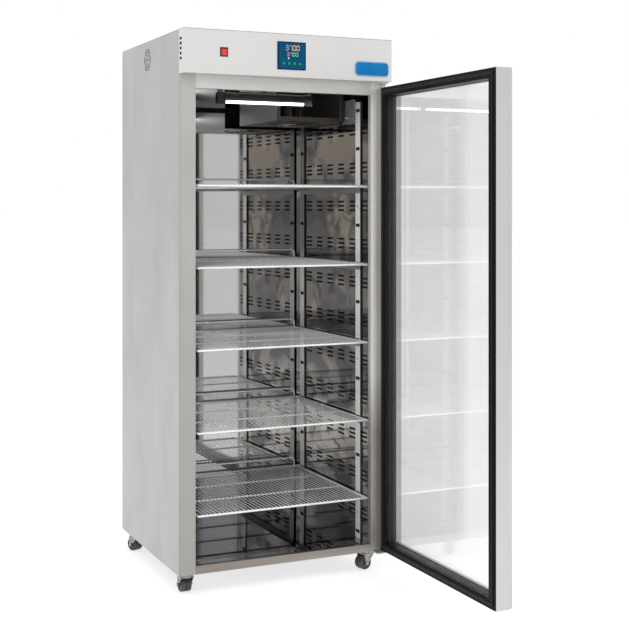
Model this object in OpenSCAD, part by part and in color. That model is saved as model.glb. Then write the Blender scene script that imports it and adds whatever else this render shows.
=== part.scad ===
// Upright warming cabinet on casters, with a glazed door that stands open at a right angle.
// The cabinet is drawn about its own middle: X across, Y from the front frame's face to the back,
// Z up from the floor. Every part is then shifted so that the origin lies on the floor under the
// middle of the whole object with its door open.

/* [Cabinet] */
// Width across the side panels
body_w = 777; // [720:1:860]
// Depth from the front frame's face to the back
body_d = 707; // [660:1:800]
// Height of the body above its casters
body_h = 1836; // [1790:1:1900]
// Thickness of the outer steel sheet
sheet_t = 1.5; // [1:0.1:2]
// Width of the front posts
post_w = 59; // [55:1:70]
// Depth of the folds behind the front frame
fold_d = 22; // [16:1:26]
// Height of the sill under the door opening
sill_h = 28; // [24:1:36]
// Height of the rail above the door opening
head_h = 45; // [38:1:60]

/* [Header] */
// Height of the control header
header_h = 150; // [145:1:165]
// How far the header stands in front of the frame
header_proj = 49; // [42:1:58]
// Length of a vent slot in the header's side
header_vent_l = 22; // [12:1:26]
// Height of a vent slot in the header's side
header_vent_h = 9; // [6:0.5:11]
// Spacing of the vent slots in the header's side
header_vent_pitch = 16.6; // [14:0.2:20]
// Number of vent slots in each side of the header
header_vents = 5; // [3:1:6]
// Distance of the top vent slot below the top
header_vent_drop = 33; // [24:1:40]

/* [Side vent] */
// Diameter of the round vent in each side panel
vent_d = 80; // [60:1:100]
// Width of the vent's arc slots
vent_slot = 4; // [2.5:0.5:5]
// Number of rings of arc slots
vent_rings = 4; // [2:1:4]
// Width of the bridges between the arc slots
vent_bridge = 6; // [4:0.5:9]
// Distance of the vent's middle below the top
vent_drop = 66; // [56:1:80]
// Distance of the vent's middle behind the frame's face
vent_back = 369; // [250:1:450]

/* [Insulated walls] */
// Thickness of the inner lining sheet
liner_t = 1; // [0.8:0.1:1.5]
// Width of the warm air duct behind each slotted wall
duct_d = 10; // [8:0.5:14]
// Thickness of the back wall with its foam
back_wall = 45; // [35:1:60]
// Thickness of the foam above the chamber
top_foam = 37; // [28:1:44]
// Height of the ceiling above the door opening
ceiling_lift = 31; // [24:1:36]
// Joint left between neighbouring foam slabs
foam_gap = 0.5; // [0.3:0.1:1]
// Height of the return air slot in the back lining
return_slot_h = 20; // [14:1:26]
// Distance of the return air slot below the ceiling
return_slot_drop = 63; // [50:1:80]

/* [Slotted walls] */
// Vertical module of the slots and the shelf positions
pitch = 140; // [130:1:150]
// Length of a louvre slot
louvre_l = 52; // [40:1:60]
// Height of a louvre slot
louvre_h = 7; // [5:0.5:9]
// Spacing of the three slots in a group
louvre_step = 16; // [13:0.5:18]
// Spacing of the slot groups front to back
louvre_pitch = 99; // [92:1:104]
// Slots in a group
louvre_stack = 3; // [2:1:3]
// Height of the lowest slot group above the lowest shelf hole
louvre_rise = 71; // [60:1:80]
// Width of the shelf uprights
upright_w = 40; // [34:1:46]
// Depth of the shelf uprights
upright_d = 5.5; // [5:0.5:10]
// Distance of the front uprights behind the frame's face
upright_front = 97; // [94:1:108]
// Distance of the rear uprights before the back lining
upright_rear = 50; // [44:1:60]
// Distance of the uprights' upper ends below the door opening's edge
upright_drop = 18; // [4:1:24]
// Height of the lowest hole in the uprights above the body's underside
hole_first = 52; // [50:1:60]
// Width of a hole in the uprights
hole_w = 32; // [26:1:34]
// Height of a hole in the uprights
hole_h = 12; // [11.5:0.5:16]

/* [Shelves] */
// Clearance between a shelf and the uprights on each side
shelf_side_gap = 3.5; // [2.5:0.5:6]
// Distance of the shelf's front bar behind the frame's face
shelf_front = 9; // [8:1:14]
// Distance of the shelf's rear bar before the back lining
shelf_rear = 22; // [18:1:40]
// Diameter of the shelf's border bars
bar_d = 8; // [6:0.5:8]
// Diameter of the shelf's two middle bars
mid_bar_d = 6; // [5:0.5:7]
// Diameter of the fine shelf wires
wire_d = 3; // [2.4:0.1:3.6]
// Spacing of the fine shelf wires
wire_pitch = 15; // [14:0.5:20]
// Height of the rear guard above the shelf
guard_h = 35; // [28:1:50]
// Distance of the rear guard's ends from the shelf's sides
guard_inset = 21; // [16:1:40]
// Bend radius of the rear guard
guard_r = 14; // [10:1:16]
// Width of a shelf runner's ledge
ledge_w = 18; // [14:0.5:22]
// Depth of a shelf runner's hanging leg
leg_h = 18; // [12:1:24]
// Small clearance where one piece rests on another
seat_gap = 0.3; // [0.2:0.05:0.5]

/* [Door] */
// Distance of the door's side edges inside the body's sides
door_side = 2; // [0.5:0.5:6]
// Gap between the door's upper edge and the header
door_head = 17; // [10:1:24]
// Height of the door's lower edge above the body's underside
door_lift = 3; // [2.5:0.5:6]
// Thickness of the door's frame
door_t = 70; // [66:1:74]
// Width of the door's two stiles
stile_w = 38; // [36:1:44]
// Height of the door's two rails
rail_h = 32; // [30:1:38]
// Wall of the hollow stiles and rails
door_wall = 2.5; // [2:0.1:3]
// Gap between the closed door's frame and the front frame
door_gap = 8; // [7.5:0.5:12]
// Width of the magnetic gasket
gasket_w = 13; // [10:0.5:14]
// Distance of the gasket from the door's edge
gasket_inset = 11; // [10:0.5:14]
// Depth of the glass rebate behind the beads
glass_lip = 8; // [7:0.5:10]
// Reach of the outer lip over the glass
lip_w = 10; // [8:0.5:12]
// Thickness of each glass pane
pane_t = 4; // [3:0.5:5]
// Space between the two panes
pane_gap = 8; // [6:0.5:12]
// Depth of the inner pane behind the door's inner plane
glass_y = 27; // [24:0.5:32]
// Thickness of the lip outside the glass
lip_t = 12; // [8:0.5:14]
// Thickness of the black inner trim
trim_t = 4; // [3:0.5:4]
// Depth of the trim's leg in the glass rebate
trim_leg = 8; // [5:0.5:10]
// Distance of the trim from the door's edge
trim_inset = 1.5; // [1:0.5:3]
// Radius of the opening edge's outer corner
edge_r = 27; // [18:1:28]
// Width of the grip's mouth
grip_w = 12; // [10:1:13]
// Depth of the grip
grip_d = 17; // [14:1:18]
// Distance of the grip's ends from the door's ends
grip_end = 133; // [60:1:500]

/* [Hinge] */
// Distance of the hinge pin from the door's side edge
pin_u = 9; // [8:0.5:10]
// Distance of the hinge pin from the door frame's inner plane
pin_v = 8; // [7:0.5:9]
// Radius of the hinge pins
pin_r = 3.5; // [3:0.1:3.5]
// Radial clearance of the turning fits
run_gap = 0.05; // [0.03:0.01:0.08]
// Length of a hinge pin inside the door
pin_l = 25; // [18:1:30]
// Thickness of the hinge brackets
bracket_t = 4; // [3:0.5:4.5]

/* [Casters] */
// Overall height of a caster
caster_h = 75; // [73:1:90]
// Diameter of a caster's roller
roller_d = 50; // [44:1:50]
// Width of a caster's roller
roller_w = 38; // [30:1:40]
// Distance of the wheel's axle behind the swivel
trail = 18; // [14:1:22]
// Radius of the axle bolts
axle_r = 4; // [3.5:0.1:5]
// Radius of the swivel pins
kingpin_r = 5; // [4:0.1:6]
// Distance of the swivels from the body's sides
caster_in = 45.5; // [45:0.5:60]
// Distance of the swivels from the body's front and back
caster_end = 62; // [60:1:80]
// Length of a caster's top plate
plate_l = 86; // [80:1:90]
// Width of a caster's top plate
plate_w = 64; // [60:1:70]

/* [Controls] */
// Width of the controller's front
panel_w = 104; // [98:1:110]
// Height of the controller's front
panel_h = 96; // [92:1:100]
// Height of the controller's middle above the header's underside
panel_up = 74; // [70:1:78]
// Size of a controller key
key_s = 9; // [7:0.5:11]
// Spacing of the controller keys
key_pitch = 20; // [16:0.5:22]
// Travel of a controller key
key_travel = 0.8; // [0.5:0.1:1]
// Width of the rocker switch's bezel
rocker_w = 28; // [26:1:32]
// Height of the rocker switch's bezel
rocker_h = 32; // [31:1:36]
// Distance of the rocker switch left of the middle
rocker_left = 246; // [200:1:280]
// Tilt of the rocker from its middle
rocker_tilt = 7; // [5:0.5:8]

/* [Fan and light] */
// Width of the fan housing
fan_box_w = 273; // [260:1:300]
// Distance of the fan housing before the back lining
fan_box_rear = 82; // [70:1:110]
// Height of the fan housing
fan_box_h = 118; // [110:1:124]
// Distance of the fan housing behind the frame's face
fan_box_front = 200; // [196:1:210]
// Distance of the fan housing from the slotted wall
fan_box_side = 12; // [11:1:20]
// Diameter of the impeller
fan_d = 150; // [130:1:160]
// Number of impeller blades
fan_blades = 5; // [4:1:7]
// Radius of the motor's shaft
shaft_r = 4; // [3:0.1:5]
// Length of the lamp between its end caps
lamp_l = 312; // [260:1:360]
// Diameter of the lamp tube
lamp_d = 15; // [12:0.5:16]
// Distance of the lamp behind the frame's face
lamp_back = 184; // [160:1:186]
// Distance of the lamp left of the middle
lamp_left = 7; // [0:1:20]

/* [Hidden] */
$fn = 48;
cut = 1;
steel = [0.78, 0.78, 0.77];
bright = [0.86, 0.87, 0.88];
dark = [0.09, 0.09, 0.1];
foam = [0.86, 0.8, 0.62];

// Levels and planes of the cabinet
half_w = body_w / 2;
inner_w = half_w - post_w;
base_z = caster_h;
top_z = base_z + body_h;
sill_z = base_z + sill_h;
header_z = top_z - header_h;
open_z = header_z - head_h;
ceiling_z = open_z + ceiling_lift;
chamber_back = body_d - back_wall;
liner_x = inner_w + duct_d;
shell_x = half_w - sheet_t;
shell_y = body_d - sheet_t;
foam_top = ceiling_z + liner_t + top_foam;
fascia_y = -header_proj;
header_vent_y = fascia_y * 0.38;
vent_bridges = 3;

// Shelf positions
hole_z0 = base_z + hole_first;
upright_top = open_z - upright_drop;
upright_back = chamber_back - upright_rear;
hole_n = floor((upright_top - hole_h - hole_z0) / pitch) + 1;
louvre_clear = 80;
louvre_n = floor((open_z - louvre_clear - hole_z0 - louvre_rise) / pitch) + 1;
louvre_cols = floor((upright_back - upright_front + louvre_pitch) / louvre_pitch);
louvre_rear = upright_back - 62;
upright_x = inner_w - upright_d;
shelf_half = upright_x - shelf_side_gap;
shelf_n = 5;
shelf_levels = [for (i = [0:shelf_n - 1]) hole_z0 + pitch * (1 + 2 * i)];
shelf_back = chamber_back - shelf_rear;
shelf_d = shelf_back - shelf_front;
bar_r = bar_d / 2;
bar_sides = 12;
wire_sides = 6;
wire_lift = wire_d * 0.3;
wire_n = floor((2 * shelf_half - 2 * bar_d) / wire_pitch / 2);

// Door, drawn from its hinge edge (x) and inner plane (y, outwards) and then stood open
door_w = body_w - 2 * door_side;
door_z = base_z + door_lift;
door_top = header_z - door_head;
door_h = door_top - door_z;
hinge_x = door_w / 2 - pin_u;
hinge_y = -door_gap - pin_v;
pane_out_y = glass_y + pane_t + pane_gap;
lip_y = pane_out_y + pane_t;
glass_play = 2;
gasket_face = seat_gap - door_gap;
centre_x = (hinge_x - pin_v + door_t - half_w) / 2;
centre_y = (hinge_y + pin_u - door_w + body_d) / 2;

// Casters
fork_side_t = 2.5;
roller_play = 1.5;
cheek_in = roller_w / 2 + roller_play;
crown_z = roller_d + 4;
crown_t = 3;
race_r = 21;
race_h = 8;
race_z = crown_z + crown_t + race_h;
plate_t = 2.5;
plate_hole_r = 3.5;
plate_hole_in = [8, 9];
caster_x = half_w - caster_in;
caster_turn = [0, 104, 24, -38];
caster_at = [[-caster_x, caster_end], [caster_x, caster_end],
             [-caster_x, body_d - caster_end], [caster_x, body_d - caster_end]];

// Controls
panel_t = 4;
panel_z = header_z + panel_up;
key_n = 4;
key_z = panel_z - 27;
key_x0 = -key_pitch * (key_n - 1) / 2;
key_proud = 0.8;
key_depth = 3.2;
rocker_up = 75;
rocker_z = header_z + rocker_up;
rocker_t = 2.5;
rocker_axis_y = fascia_y + 5;

// Fan and lamp
fan_x0 = inner_w - fan_box_side - fan_box_w;
fan_cx = fan_x0 + fan_box_w / 2;
fan_box_d = chamber_back - fan_box_rear - fan_box_front;
fan_shift = 40;
fan_cy = fan_box_front + fan_box_d / 2 + fan_shift;
fan_hole_gap = 4;
fan_floor = ceiling_z - fan_box_h;
motor_r = 32;
motor_h = 88;
hub_r = 20;
hub_h = 22;
hub_z = ceiling_z - motor_h - seat_gap - hub_h;
lamp_drop = 56;
lamp_cap = [28, 22];
lamp_cap_under = 2;
batten_gap = 5;
batten_h = 22;

// Helpers

module at_cabinet() translate([-centre_x, -centre_y, 0]) children();

module at_door() at_cabinet()
    translate([hinge_x - pin_v, hinge_y + pin_u, door_z]) rotate([0, 0, -90]) children();

module block(a, b) translate(a) cube(b - a);

module left_hand() mirror([1, 0, 0]) children();

// A profile drawn in X and Z, run back along Y
module run_y(y0, y1) translate([0, y1, 0]) rotate([90, 0, 0]) linear_extrude(y1 - y0) children();

// A profile drawn in Y and Z, run along X
module run_x(x0, x1) translate([x0, 0, 0]) rotate([90, 0, 90]) linear_extrude(x1 - x0) children();

// A slot with round ends, lying along Y through a wall that faces X
module side_slot(x, y, z, l, h) {
    for (s = [-1, 1]) translate([x, y + s * (l - h) / 2, z]) rotate([0, 90, 0])
        cylinder(d = h, h = 4 * cut, center = true);
    translate([x, y, z]) cube([4 * cut, l - h, h], center = true);
}

// Outer casing

module vent_cuts() {
    ring_step = (vent_d / 2 - vent_slot) / vent_rings;
    translate([half_w, vent_back, top_z - vent_drop]) rotate([0, 90, 0])
        translate([0, 0, -2 * cut]) linear_extrude(4 * cut) difference() {
            for (i = [1:vent_rings]) difference() {
                circle(r = ring_step * i + vent_slot);
                circle(r = ring_step * i);
            }
            for (i = [1:vent_bridges])
                rotate(180 * i / vent_bridges) square([2 * vent_d, vent_bridge], center = true);
        }
    translate([half_w, vent_back, top_z - vent_drop]) rotate([0, 90, 0])
        cylinder(r = vent_slot, h = 4 * cut, center = true);
}

module side_panel() color(steel) difference() {
    block([half_w - sheet_t, 0, base_z], [half_w, body_d, top_z - sheet_t]);
    vent_cuts();
}
module side_panel_left() at_cabinet() left_hand() side_panel();
module side_panel_right() at_cabinet() side_panel();

inlet_w = 48;
inlet_h = 28;
inlet_d = 26;
inlet_x = half_w - 120;
inlet_z = top_z - 60;
inlet_flange = 4;
inlet_flange_t = 3;
inlet_well = [8, 18, 5];

module back_panel() at_cabinet() color(steel) difference() {
    block([-shell_x, shell_y, base_z], [shell_x, body_d, top_z - sheet_t]);
    block([inlet_x, shell_y - cut, inlet_z], [inlet_x + inlet_w, body_d + cut, inlet_z + inlet_h]);
}

module base_panel() at_cabinet() color(steel)
    block([-shell_x, fold_d, base_z], [shell_x, shell_y, base_z + sheet_t]);

module top_cover() at_cabinet() color(steel)
    block([-half_w, fascia_y, top_z - sheet_t], [half_w, body_d, top_z]);

module front_post() color(steel) translate([0, 0, base_z])
    linear_extrude(body_h - sheet_t) difference() {
        translate([inner_w, 0]) square([post_w - sheet_t, fold_d]);
        translate([inner_w + sheet_t, sheet_t]) square([post_w - 3 * sheet_t, fold_d]);
    }
module front_post_left() at_cabinet() left_hand() front_post();
module front_post_right() at_cabinet() front_post();

// A folded rail between the posts, open to the back
module rail_fold(z0, z1) run_x(-inner_w, inner_w) difference() {
    translate([0, z0]) square([fold_d, z1 - z0]);
    translate([sheet_t, z0 + sheet_t]) square([fold_d, z1 - z0 - 2 * sheet_t]);
}
module head_rail() at_cabinet() color(steel) rail_fold(open_z, header_z + sheet_t);
module sill() at_cabinet() color(steel) rail_fold(base_z, sill_z);

panel_lap = [6, 3];
panel_cut_x = panel_w / 2 - panel_lap[0];
panel_cut_z = panel_h / 2 - panel_lap[1];
rocker_lap = [3, 2];
rocker_cut_x = rocker_w / 2 - rocker_lap[0];
rocker_cut_z = rocker_h / 2 - rocker_lap[1];

module header_fascia() at_cabinet() color(steel) difference() {
    block([-half_w, fascia_y, header_z], [half_w, 0, top_z - sheet_t]);
    block([-shell_x, fascia_y + sheet_t, header_z + sheet_t], [shell_x, cut, top_z]);
    for (s = [-1, 1], i = [0:header_vents - 1])
        side_slot(s * (half_w - sheet_t / 2), header_vent_y,
            top_z - header_vent_drop - i * header_vent_pitch, header_vent_l, header_vent_h);
    block([-panel_cut_x, fascia_y - cut, panel_z - panel_cut_z],
        [panel_cut_x, fascia_y + sheet_t + cut, panel_z + panel_cut_z]);
    block([-rocker_left - rocker_cut_x, fascia_y - cut, rocker_z - rocker_cut_z],
        [-rocker_left + rocker_cut_x, fascia_y + sheet_t + cut, rocker_z + rocker_cut_z]);
}

// Insulation and lining

slab_x = liner_x + liner_t;
foam_x = slab_x - foam_gap;
floor_top = base_z + sheet_t;
return_slot_z = ceiling_z - return_slot_drop;
return_slot_end = 30;
return_slot_x = inner_w - return_slot_end;
return_slot_d = 20;

// The slot that returns air through the back lining, cut back by a depth
module return_slot(depth) block([-return_slot_x, chamber_back - cut, return_slot_z],
    [return_slot_x, chamber_back + depth, return_slot_z + return_slot_h]);

module insulation() at_cabinet() color(foam) {
    for (s = [0, 1]) mirror([s, 0, 0])
        block([slab_x, fold_d, floor_top], [shell_x, shell_y, foam_top]);
    block([-foam_x, fold_d, floor_top], [foam_x, chamber_back - foam_gap, sill_z - liner_t]);
    block([-foam_x, fold_d, ceiling_z + liner_t], [foam_x, chamber_back - foam_gap, foam_top]);
    difference() {
        block([-foam_x, chamber_back + liner_t, floor_top], [foam_x, shell_y, foam_top]);
        return_slot(return_slot_d);
    }
}

module liner() at_cabinet() color(bright) {
    for (s = [0, 1]) mirror([s, 0, 0])
        block([liner_x, fold_d, sill_z + foam_gap],
            [slab_x, chamber_back - foam_gap, ceiling_z - foam_gap]);
    block([-slab_x, fold_d, sill_z - liner_t], [slab_x, chamber_back - foam_gap, sill_z]);
    block([-slab_x, fold_d, ceiling_z], [slab_x, chamber_back - foam_gap, ceiling_z + liner_t]);
    difference() {
        block([-foam_x, chamber_back, floor_top + foam_gap],
            [foam_x, chamber_back + liner_t, foam_top]);
        return_slot(2 * cut);
    }
}

// Slotted duct walls with their shelf uprights

duct_t = 1.2;
louvre_z0 = hole_z0 + louvre_rise - louvre_step * (louvre_stack - 1) / 2 - louvre_h / 2;
duct_y0 = fold_d + seat_gap;
duct_y1 = chamber_back - foam_gap - seat_gap;
duct_z0 = sill_z + seat_gap;
duct_z1 = ceiling_z - seat_gap;

module louvre_cuts() {
    for (c = [0:louvre_cols - 1], r = [0:louvre_n - 1], k = [0:louvre_stack - 1])
        translate([inner_w - cut, louvre_rear - c * louvre_pitch - louvre_l / 2,
                louvre_z0 + r * pitch + k * louvre_step])
            cube([duct_t + 2 * cut, louvre_l, louvre_h]);
}

module duct_panel() color(bright) difference() {
    block([inner_w, duct_y0, duct_z0], [liner_x, duct_y1, duct_z1]);
    block([inner_w + duct_t, duct_y0 + duct_t, duct_z0 - cut],
        [liner_x + cut, duct_y1 - duct_t, duct_z1 + cut]);
    louvre_cuts();
}
module duct_panel_left() at_cabinet() left_hand() duct_panel();
module duct_panel_right() at_cabinet() duct_panel();

module upright(y) difference() {
    block([upright_x, y - upright_w / 2, duct_z0], [inner_w, y + upright_w / 2, upright_top]);
    block([upright_x + sheet_t, y - upright_w / 2 + sheet_t, duct_z0 - cut],
        [inner_w + cut, y + upright_w / 2 - sheet_t, upright_top + cut]);
    for (i = [0:hole_n - 1])
        translate([upright_x - cut, y - hole_w / 2, hole_z0 + i * pitch - hole_h / 2])
            cube([sheet_t + 2 * cut, hole_w, hole_h]);
}
module uprights() color(bright) {
    upright(upright_front);
    upright(upright_back);
}
module uprights_left() at_cabinet() left_hand() uprights();
module uprights_right() at_cabinet() uprights();

// An angle on each side of every shelf, hooked into the uprights

runner_t = 1.3;
hook_play = 2;
hook_reach = 2;
ledge_drop = bar_r + seat_gap;

module runner(z) {
    ledge_z = z - ledge_drop;
    y0 = upright_front - upright_w / 2;
    y1 = upright_back + upright_w / 2;
    block([upright_x - ledge_w, y0, ledge_z - runner_t], [upright_x, y1, ledge_z]);
    block([upright_x - runner_t, y0, ledge_z - leg_h], [upright_x, y1, ledge_z]);
    for (y = [upright_front, upright_back])
        block([upright_x - runner_t, y - hole_w / 2 + hook_play, ledge_z - runner_t],
            [upright_x + sheet_t + hook_reach, y + hole_w / 2 - hook_play, ledge_z]);
}
module runners() color(bright) for (z = shelf_levels) runner(z);
module runners_left() at_cabinet() left_hand() runners();
module runners_right() at_cabinet() runners();

// Wire shelves

module bar_x(y, z, r, half) translate([-half, y, z]) rotate([0, 90, 0])
    cylinder(r = r, h = 2 * half, $fn = bar_sides);
module bar_y(x, z, r, y0, y1) translate([x, y1, z]) rotate([90, 0, 0])
    cylinder(r = r, h = y1 - y0, $fn = bar_sides);

module shelf_grid(z) {
    bars_top = z + bar_r;
    mid_r = mid_bar_d / 2;
    for (y = [shelf_front, shelf_back]) bar_x(y, z, bar_r, shelf_half);
    for (s = [-1, 1]) bar_y(s * (shelf_half - bar_r), z, bar_r, shelf_front, shelf_back);
    for (k = [1, 2]) bar_x(shelf_front + k * shelf_d / 3, bars_top - mid_r, mid_r, shelf_half - bar_r);
    for (i = [-wire_n:wire_n]) translate([i * wire_pitch, shelf_back, bars_top + wire_lift])
        rotate([90, 0, 0]) cylinder(d = wire_d, h = shelf_d, $fn = wire_sides);
}

module shelf_guard(z) {
    foot = shelf_half - guard_inset;
    foot_z = z + bar_r + wire_lift + wire_d * cos(180 / wire_sides) / 2 + seat_gap;
    bend_z = z + guard_h - guard_r;
    guard_wire = mid_bar_d / 2;
    translate([0, shelf_back - guard_wire, 0]) {
        bar_x(0, z + guard_h, guard_wire, foot - guard_r);
        for (s = [0, 1]) mirror([s, 0, 0]) {
            translate([foot, 0, foot_z]) cylinder(r = guard_wire, h = bend_z - foot_z, $fn = bar_sides);
            translate([foot - guard_r, 0, bend_z]) rotate([90, 0, 0]) rotate_extrude(angle = 90)
                translate([guard_r, 0]) circle(r = guard_wire, $fn = bar_sides);
        }
    }
}

module shelf(i) at_cabinet() color(bright) {
    shelf_grid(shelf_levels[i]);
    shelf_guard(shelf_levels[i]);
}
module shelf_1() shelf(4);
module shelf_2() shelf(3);
module shelf_3() shelf(2);
module shelf_4() shelf(1);
module shelf_5() shelf(0);

// Fan housing under the ceiling, with its motor, impeller and heating ring

fan_lip = 16;
fan_x1 = fan_x0 + fan_box_w;

module fan_housing() at_cabinet() color(bright) difference() {
    block([fan_x0, fan_box_front, fan_floor], [fan_x1, fan_box_front + fan_box_d, ceiling_z]);
    block([fan_x0 + sheet_t, fan_box_front + sheet_t, fan_floor + sheet_t],
        [fan_x1 - sheet_t, fan_box_front + fan_box_d - sheet_t, ceiling_z + cut]);
    block([fan_x0 + fan_lip, fan_box_front - cut, fan_floor + fan_lip],
        [fan_x1 - fan_lip, fan_box_front + 2 * cut, ceiling_z - fan_lip]);
    translate([fan_cx, fan_cy, fan_floor - cut]) cylinder(r = fan_d / 2 + fan_hole_gap, h = 4 * cut);
}

shaft_out = 2;

module fan_motor() at_cabinet() color(dark) translate([fan_cx, fan_cy, 0]) {
    translate([0, 0, ceiling_z - motor_h]) cylinder(r = motor_r, h = motor_h);
    translate([0, 0, hub_z - shaft_out]) cylinder(r = shaft_r, h = motor_h);
}

blade_chord = 34;
blade_t = 2;
blade_tilt = 32;
blade_root = hub_r - 3;

module blade(a) rotate([0, 0, a]) translate([blade_root, 0, hub_h / 2]) rotate([blade_tilt, 0, 0])
    translate([0, -blade_chord / 2, -blade_t / 2]) cube([fan_d, blade_chord, blade_t]);

module fan_impeller() at_cabinet() color(dark) translate([fan_cx, fan_cy, hub_z]) difference() {
    union() {
        cylinder(r = hub_r, h = hub_h);
        intersection() {
            cylinder(d = fan_d, h = hub_h);
            for (i = [0:fan_blades - 1]) blade(i * 360 / fan_blades);
        }
    }
    translate([0, 0, -cut]) cylinder(r = shaft_r + run_gap, h = hub_h + 2 * cut);
}

heater_r = 88;
heater_tube = 4;
heater_z = hub_z + hub_h / 2;
lead_r = 2.5;
lead_x = 20;
lead_y = -sqrt(pow(heater_r, 2) - pow(lead_x, 2));
lead_z = heater_z + heater_tube / 2;

module heater_element() at_cabinet() color([0.5, 0.45, 0.4]) translate([fan_cx, fan_cy, 0]) {
    translate([0, 0, heater_z]) rotate_extrude() translate([heater_r, 0]) circle(r = heater_tube);
    for (s = [-1, 1]) translate([s * lead_x, lead_y, lead_z])
        cylinder(r = lead_r, h = ceiling_z - lead_z);
}

// Ceiling lamp

lamp_z = ceiling_z - lamp_drop;
batten_z = lamp_z + lamp_d / 2 + batten_gap;
batten_x = lamp_l / 2 - seat_gap;
lamp_y0 = lamp_back - lamp_cap[1] / 2;
lamp_y1 = lamp_back + lamp_cap[1] / 2;

module lamp_batten() at_cabinet() color(dark) translate([-lamp_left, 0, 0]) {
    for (s = [0, 1]) mirror([s, 0, 0])
        block([lamp_l / 2, lamp_y0, lamp_z - lamp_d / 2 - lamp_cap_under],
            [lamp_l / 2 + lamp_cap[0], lamp_y1, ceiling_z]);
    block([-batten_x, lamp_y0, batten_z], [batten_x, lamp_y1, batten_z + batten_h]);
}

module lamp_tube() at_cabinet() color([0.95, 0.95, 0.92])
    translate([-lamp_left - lamp_l / 2, lamp_back, lamp_z]) rotate([0, 90, 0])
        cylinder(d = lamp_d, h = lamp_l);

// Temperature probe with its cover plate on the right wall

probe_w = 97;
probe_h = 86;
probe_t = 6;
probe_y = 132;
probe_z = fan_floor - 5;
probe_tip_l = 12;
probe_tip_r = 3;
probe_tip_up = 20;

module temperature_probe() at_cabinet() color(bright) {
    block([inner_w - probe_t, probe_y, probe_z], [inner_w, probe_y + probe_w, probe_z + probe_h]);
    translate([inner_w - probe_t - probe_tip_l, probe_y + probe_w / 2, probe_z + probe_tip_up])
        rotate([0, 90, 0]) cylinder(r = probe_tip_r, h = probe_tip_l + cut);
}

module mains_inlet() at_cabinet() color(dark) translate([inlet_x, 0, inlet_z]) difference() {
    union() {
        block([seat_gap, body_d - inlet_d, seat_gap], [inlet_w - seat_gap, body_d, inlet_h - seat_gap]);
        block([-inlet_flange, shell_y - inlet_flange_t, -inlet_flange],
            [inlet_w + inlet_flange, shell_y, inlet_h + inlet_flange]);
    }
    block([inlet_well[0], body_d - inlet_well[1], inlet_well[2]],
        [inlet_w - inlet_well[0], body_d + cut, inlet_h - inlet_well[2]]);
}

// Controller with four keys

panel_y = fascia_y - panel_t;
controller_back = 5;
key_gap = 0.3;
key_hole = key_s / 2 + key_gap;
key_well = key_depth + key_travel + 0.4;
window_w = 70;
window_h = 46;
window_t = 1.5;
window_z = panel_z + 14;

module controller() at_cabinet() color([0, 0.3, 0.55]) difference() {
    union() {
        block([-panel_w / 2, panel_y, panel_z - panel_h / 2],
            [panel_w / 2, fascia_y, panel_z + panel_h / 2]);
        block([seat_gap - panel_cut_x, fascia_y - cut, panel_z - panel_cut_z + seat_gap],
            [panel_cut_x - seat_gap, -controller_back, panel_z + panel_cut_z - seat_gap]);
    }
    block([-window_w / 2, panel_y - cut, window_z - window_h / 2],
        [window_w / 2, panel_y + window_t, window_z + window_h / 2]);
    for (i = [0:key_n - 1]) translate([key_x0 + i * key_pitch, panel_y, key_z])
        block([-key_hole, -cut, -key_hole], [key_hole, key_well, key_hole]);
}

module controller_window() at_cabinet() color([0.05, 0.15, 0.3])
    block([seat_gap - window_w / 2, panel_y, window_z - window_h / 2 + seat_gap],
        [window_w / 2 - seat_gap, panel_y + window_t, window_z + window_h / 2 - seat_gap]);

module key(i) at_cabinet() color([0.25, 0.6, 0.3]) translate([key_x0 + i * key_pitch, panel_y, key_z])
    block([-key_s / 2, -key_proud, -key_s / 2], [key_s / 2, key_depth, key_s / 2]);
module key_1() key(0);
module key_2() key(1);
module key_3() key(2);
module key_4() key(3);

// Rocker switch

well_x = rocker_w / 2 - 4;
well_z = rocker_h / 2 - 3;
well_y = rocker_axis_y + 10;
switch_d = 26;
rocker_half = well_z - 1.7;
rocker_round = 14.5;
rocker_face = -10.5;
rocker_valley = -8.5;
rocker_tail = [9, 5];

module switch_housing() at_cabinet() color(dark) translate([-rocker_left, 0, rocker_z]) difference() {
    union() {
        block([-rocker_w / 2, fascia_y - rocker_t, -rocker_h / 2],
            [rocker_w / 2, fascia_y, rocker_h / 2]);
        block([seat_gap - rocker_cut_x, fascia_y - cut, seat_gap - rocker_cut_z],
            [rocker_cut_x - seat_gap, fascia_y + switch_d, rocker_cut_z - seat_gap]);
    }
    block([-well_x, fascia_y - rocker_t - cut, -well_z], [well_x, well_y, well_z]);
}

// The rocker's side outline: two faces meeting in a shallow valley, round behind its pivot
module rocker_outline() intersection() {
    polygon([[rocker_face, -rocker_half], [rocker_valley, 0], [rocker_face, rocker_half],
        [0, rocker_half], rocker_tail, [rocker_tail[0], -rocker_tail[1]], [0, -rocker_half]]);
    circle(r = rocker_round);
}

module rocker() at_cabinet() color([0.85, 0.12, 0.1])
    translate([-rocker_left, rocker_axis_y, rocker_z]) rotate([rocker_tilt, 0, 0])
        run_x(seat_gap - well_x, well_x - seat_gap) rocker_outline();

// Door frame: hollow stiles and rails with a rebate for the glass

rebate_u = stile_w - glass_lip;
rebate_z = rail_h - glass_lip;
lip_u = rebate_u + lip_w;
hollow_w = rebate_u - 2 * door_wall;

// The stile's section, from the door's edge (x) and inner plane (y)
module stile_section(r) difference() {
    union() {
        difference() {
            square([rebate_u, door_t]);
            translate([-cut, door_t - r]) square([r + cut, r + cut]);
        }
        translate([r, door_t - r]) intersection() {
            circle(r = r);
            translate([-r, 0]) square([r, r]);
        }
        translate([rebate_u - cut, lip_y]) square([lip_w + cut, lip_t]);
    }
    children();
}

hollow_t = door_t - 3 * door_wall;

module stile_hinge_section() stile_section(2 * door_wall)
    translate([door_wall, door_wall]) square([hollow_w, hollow_t]);

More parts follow.
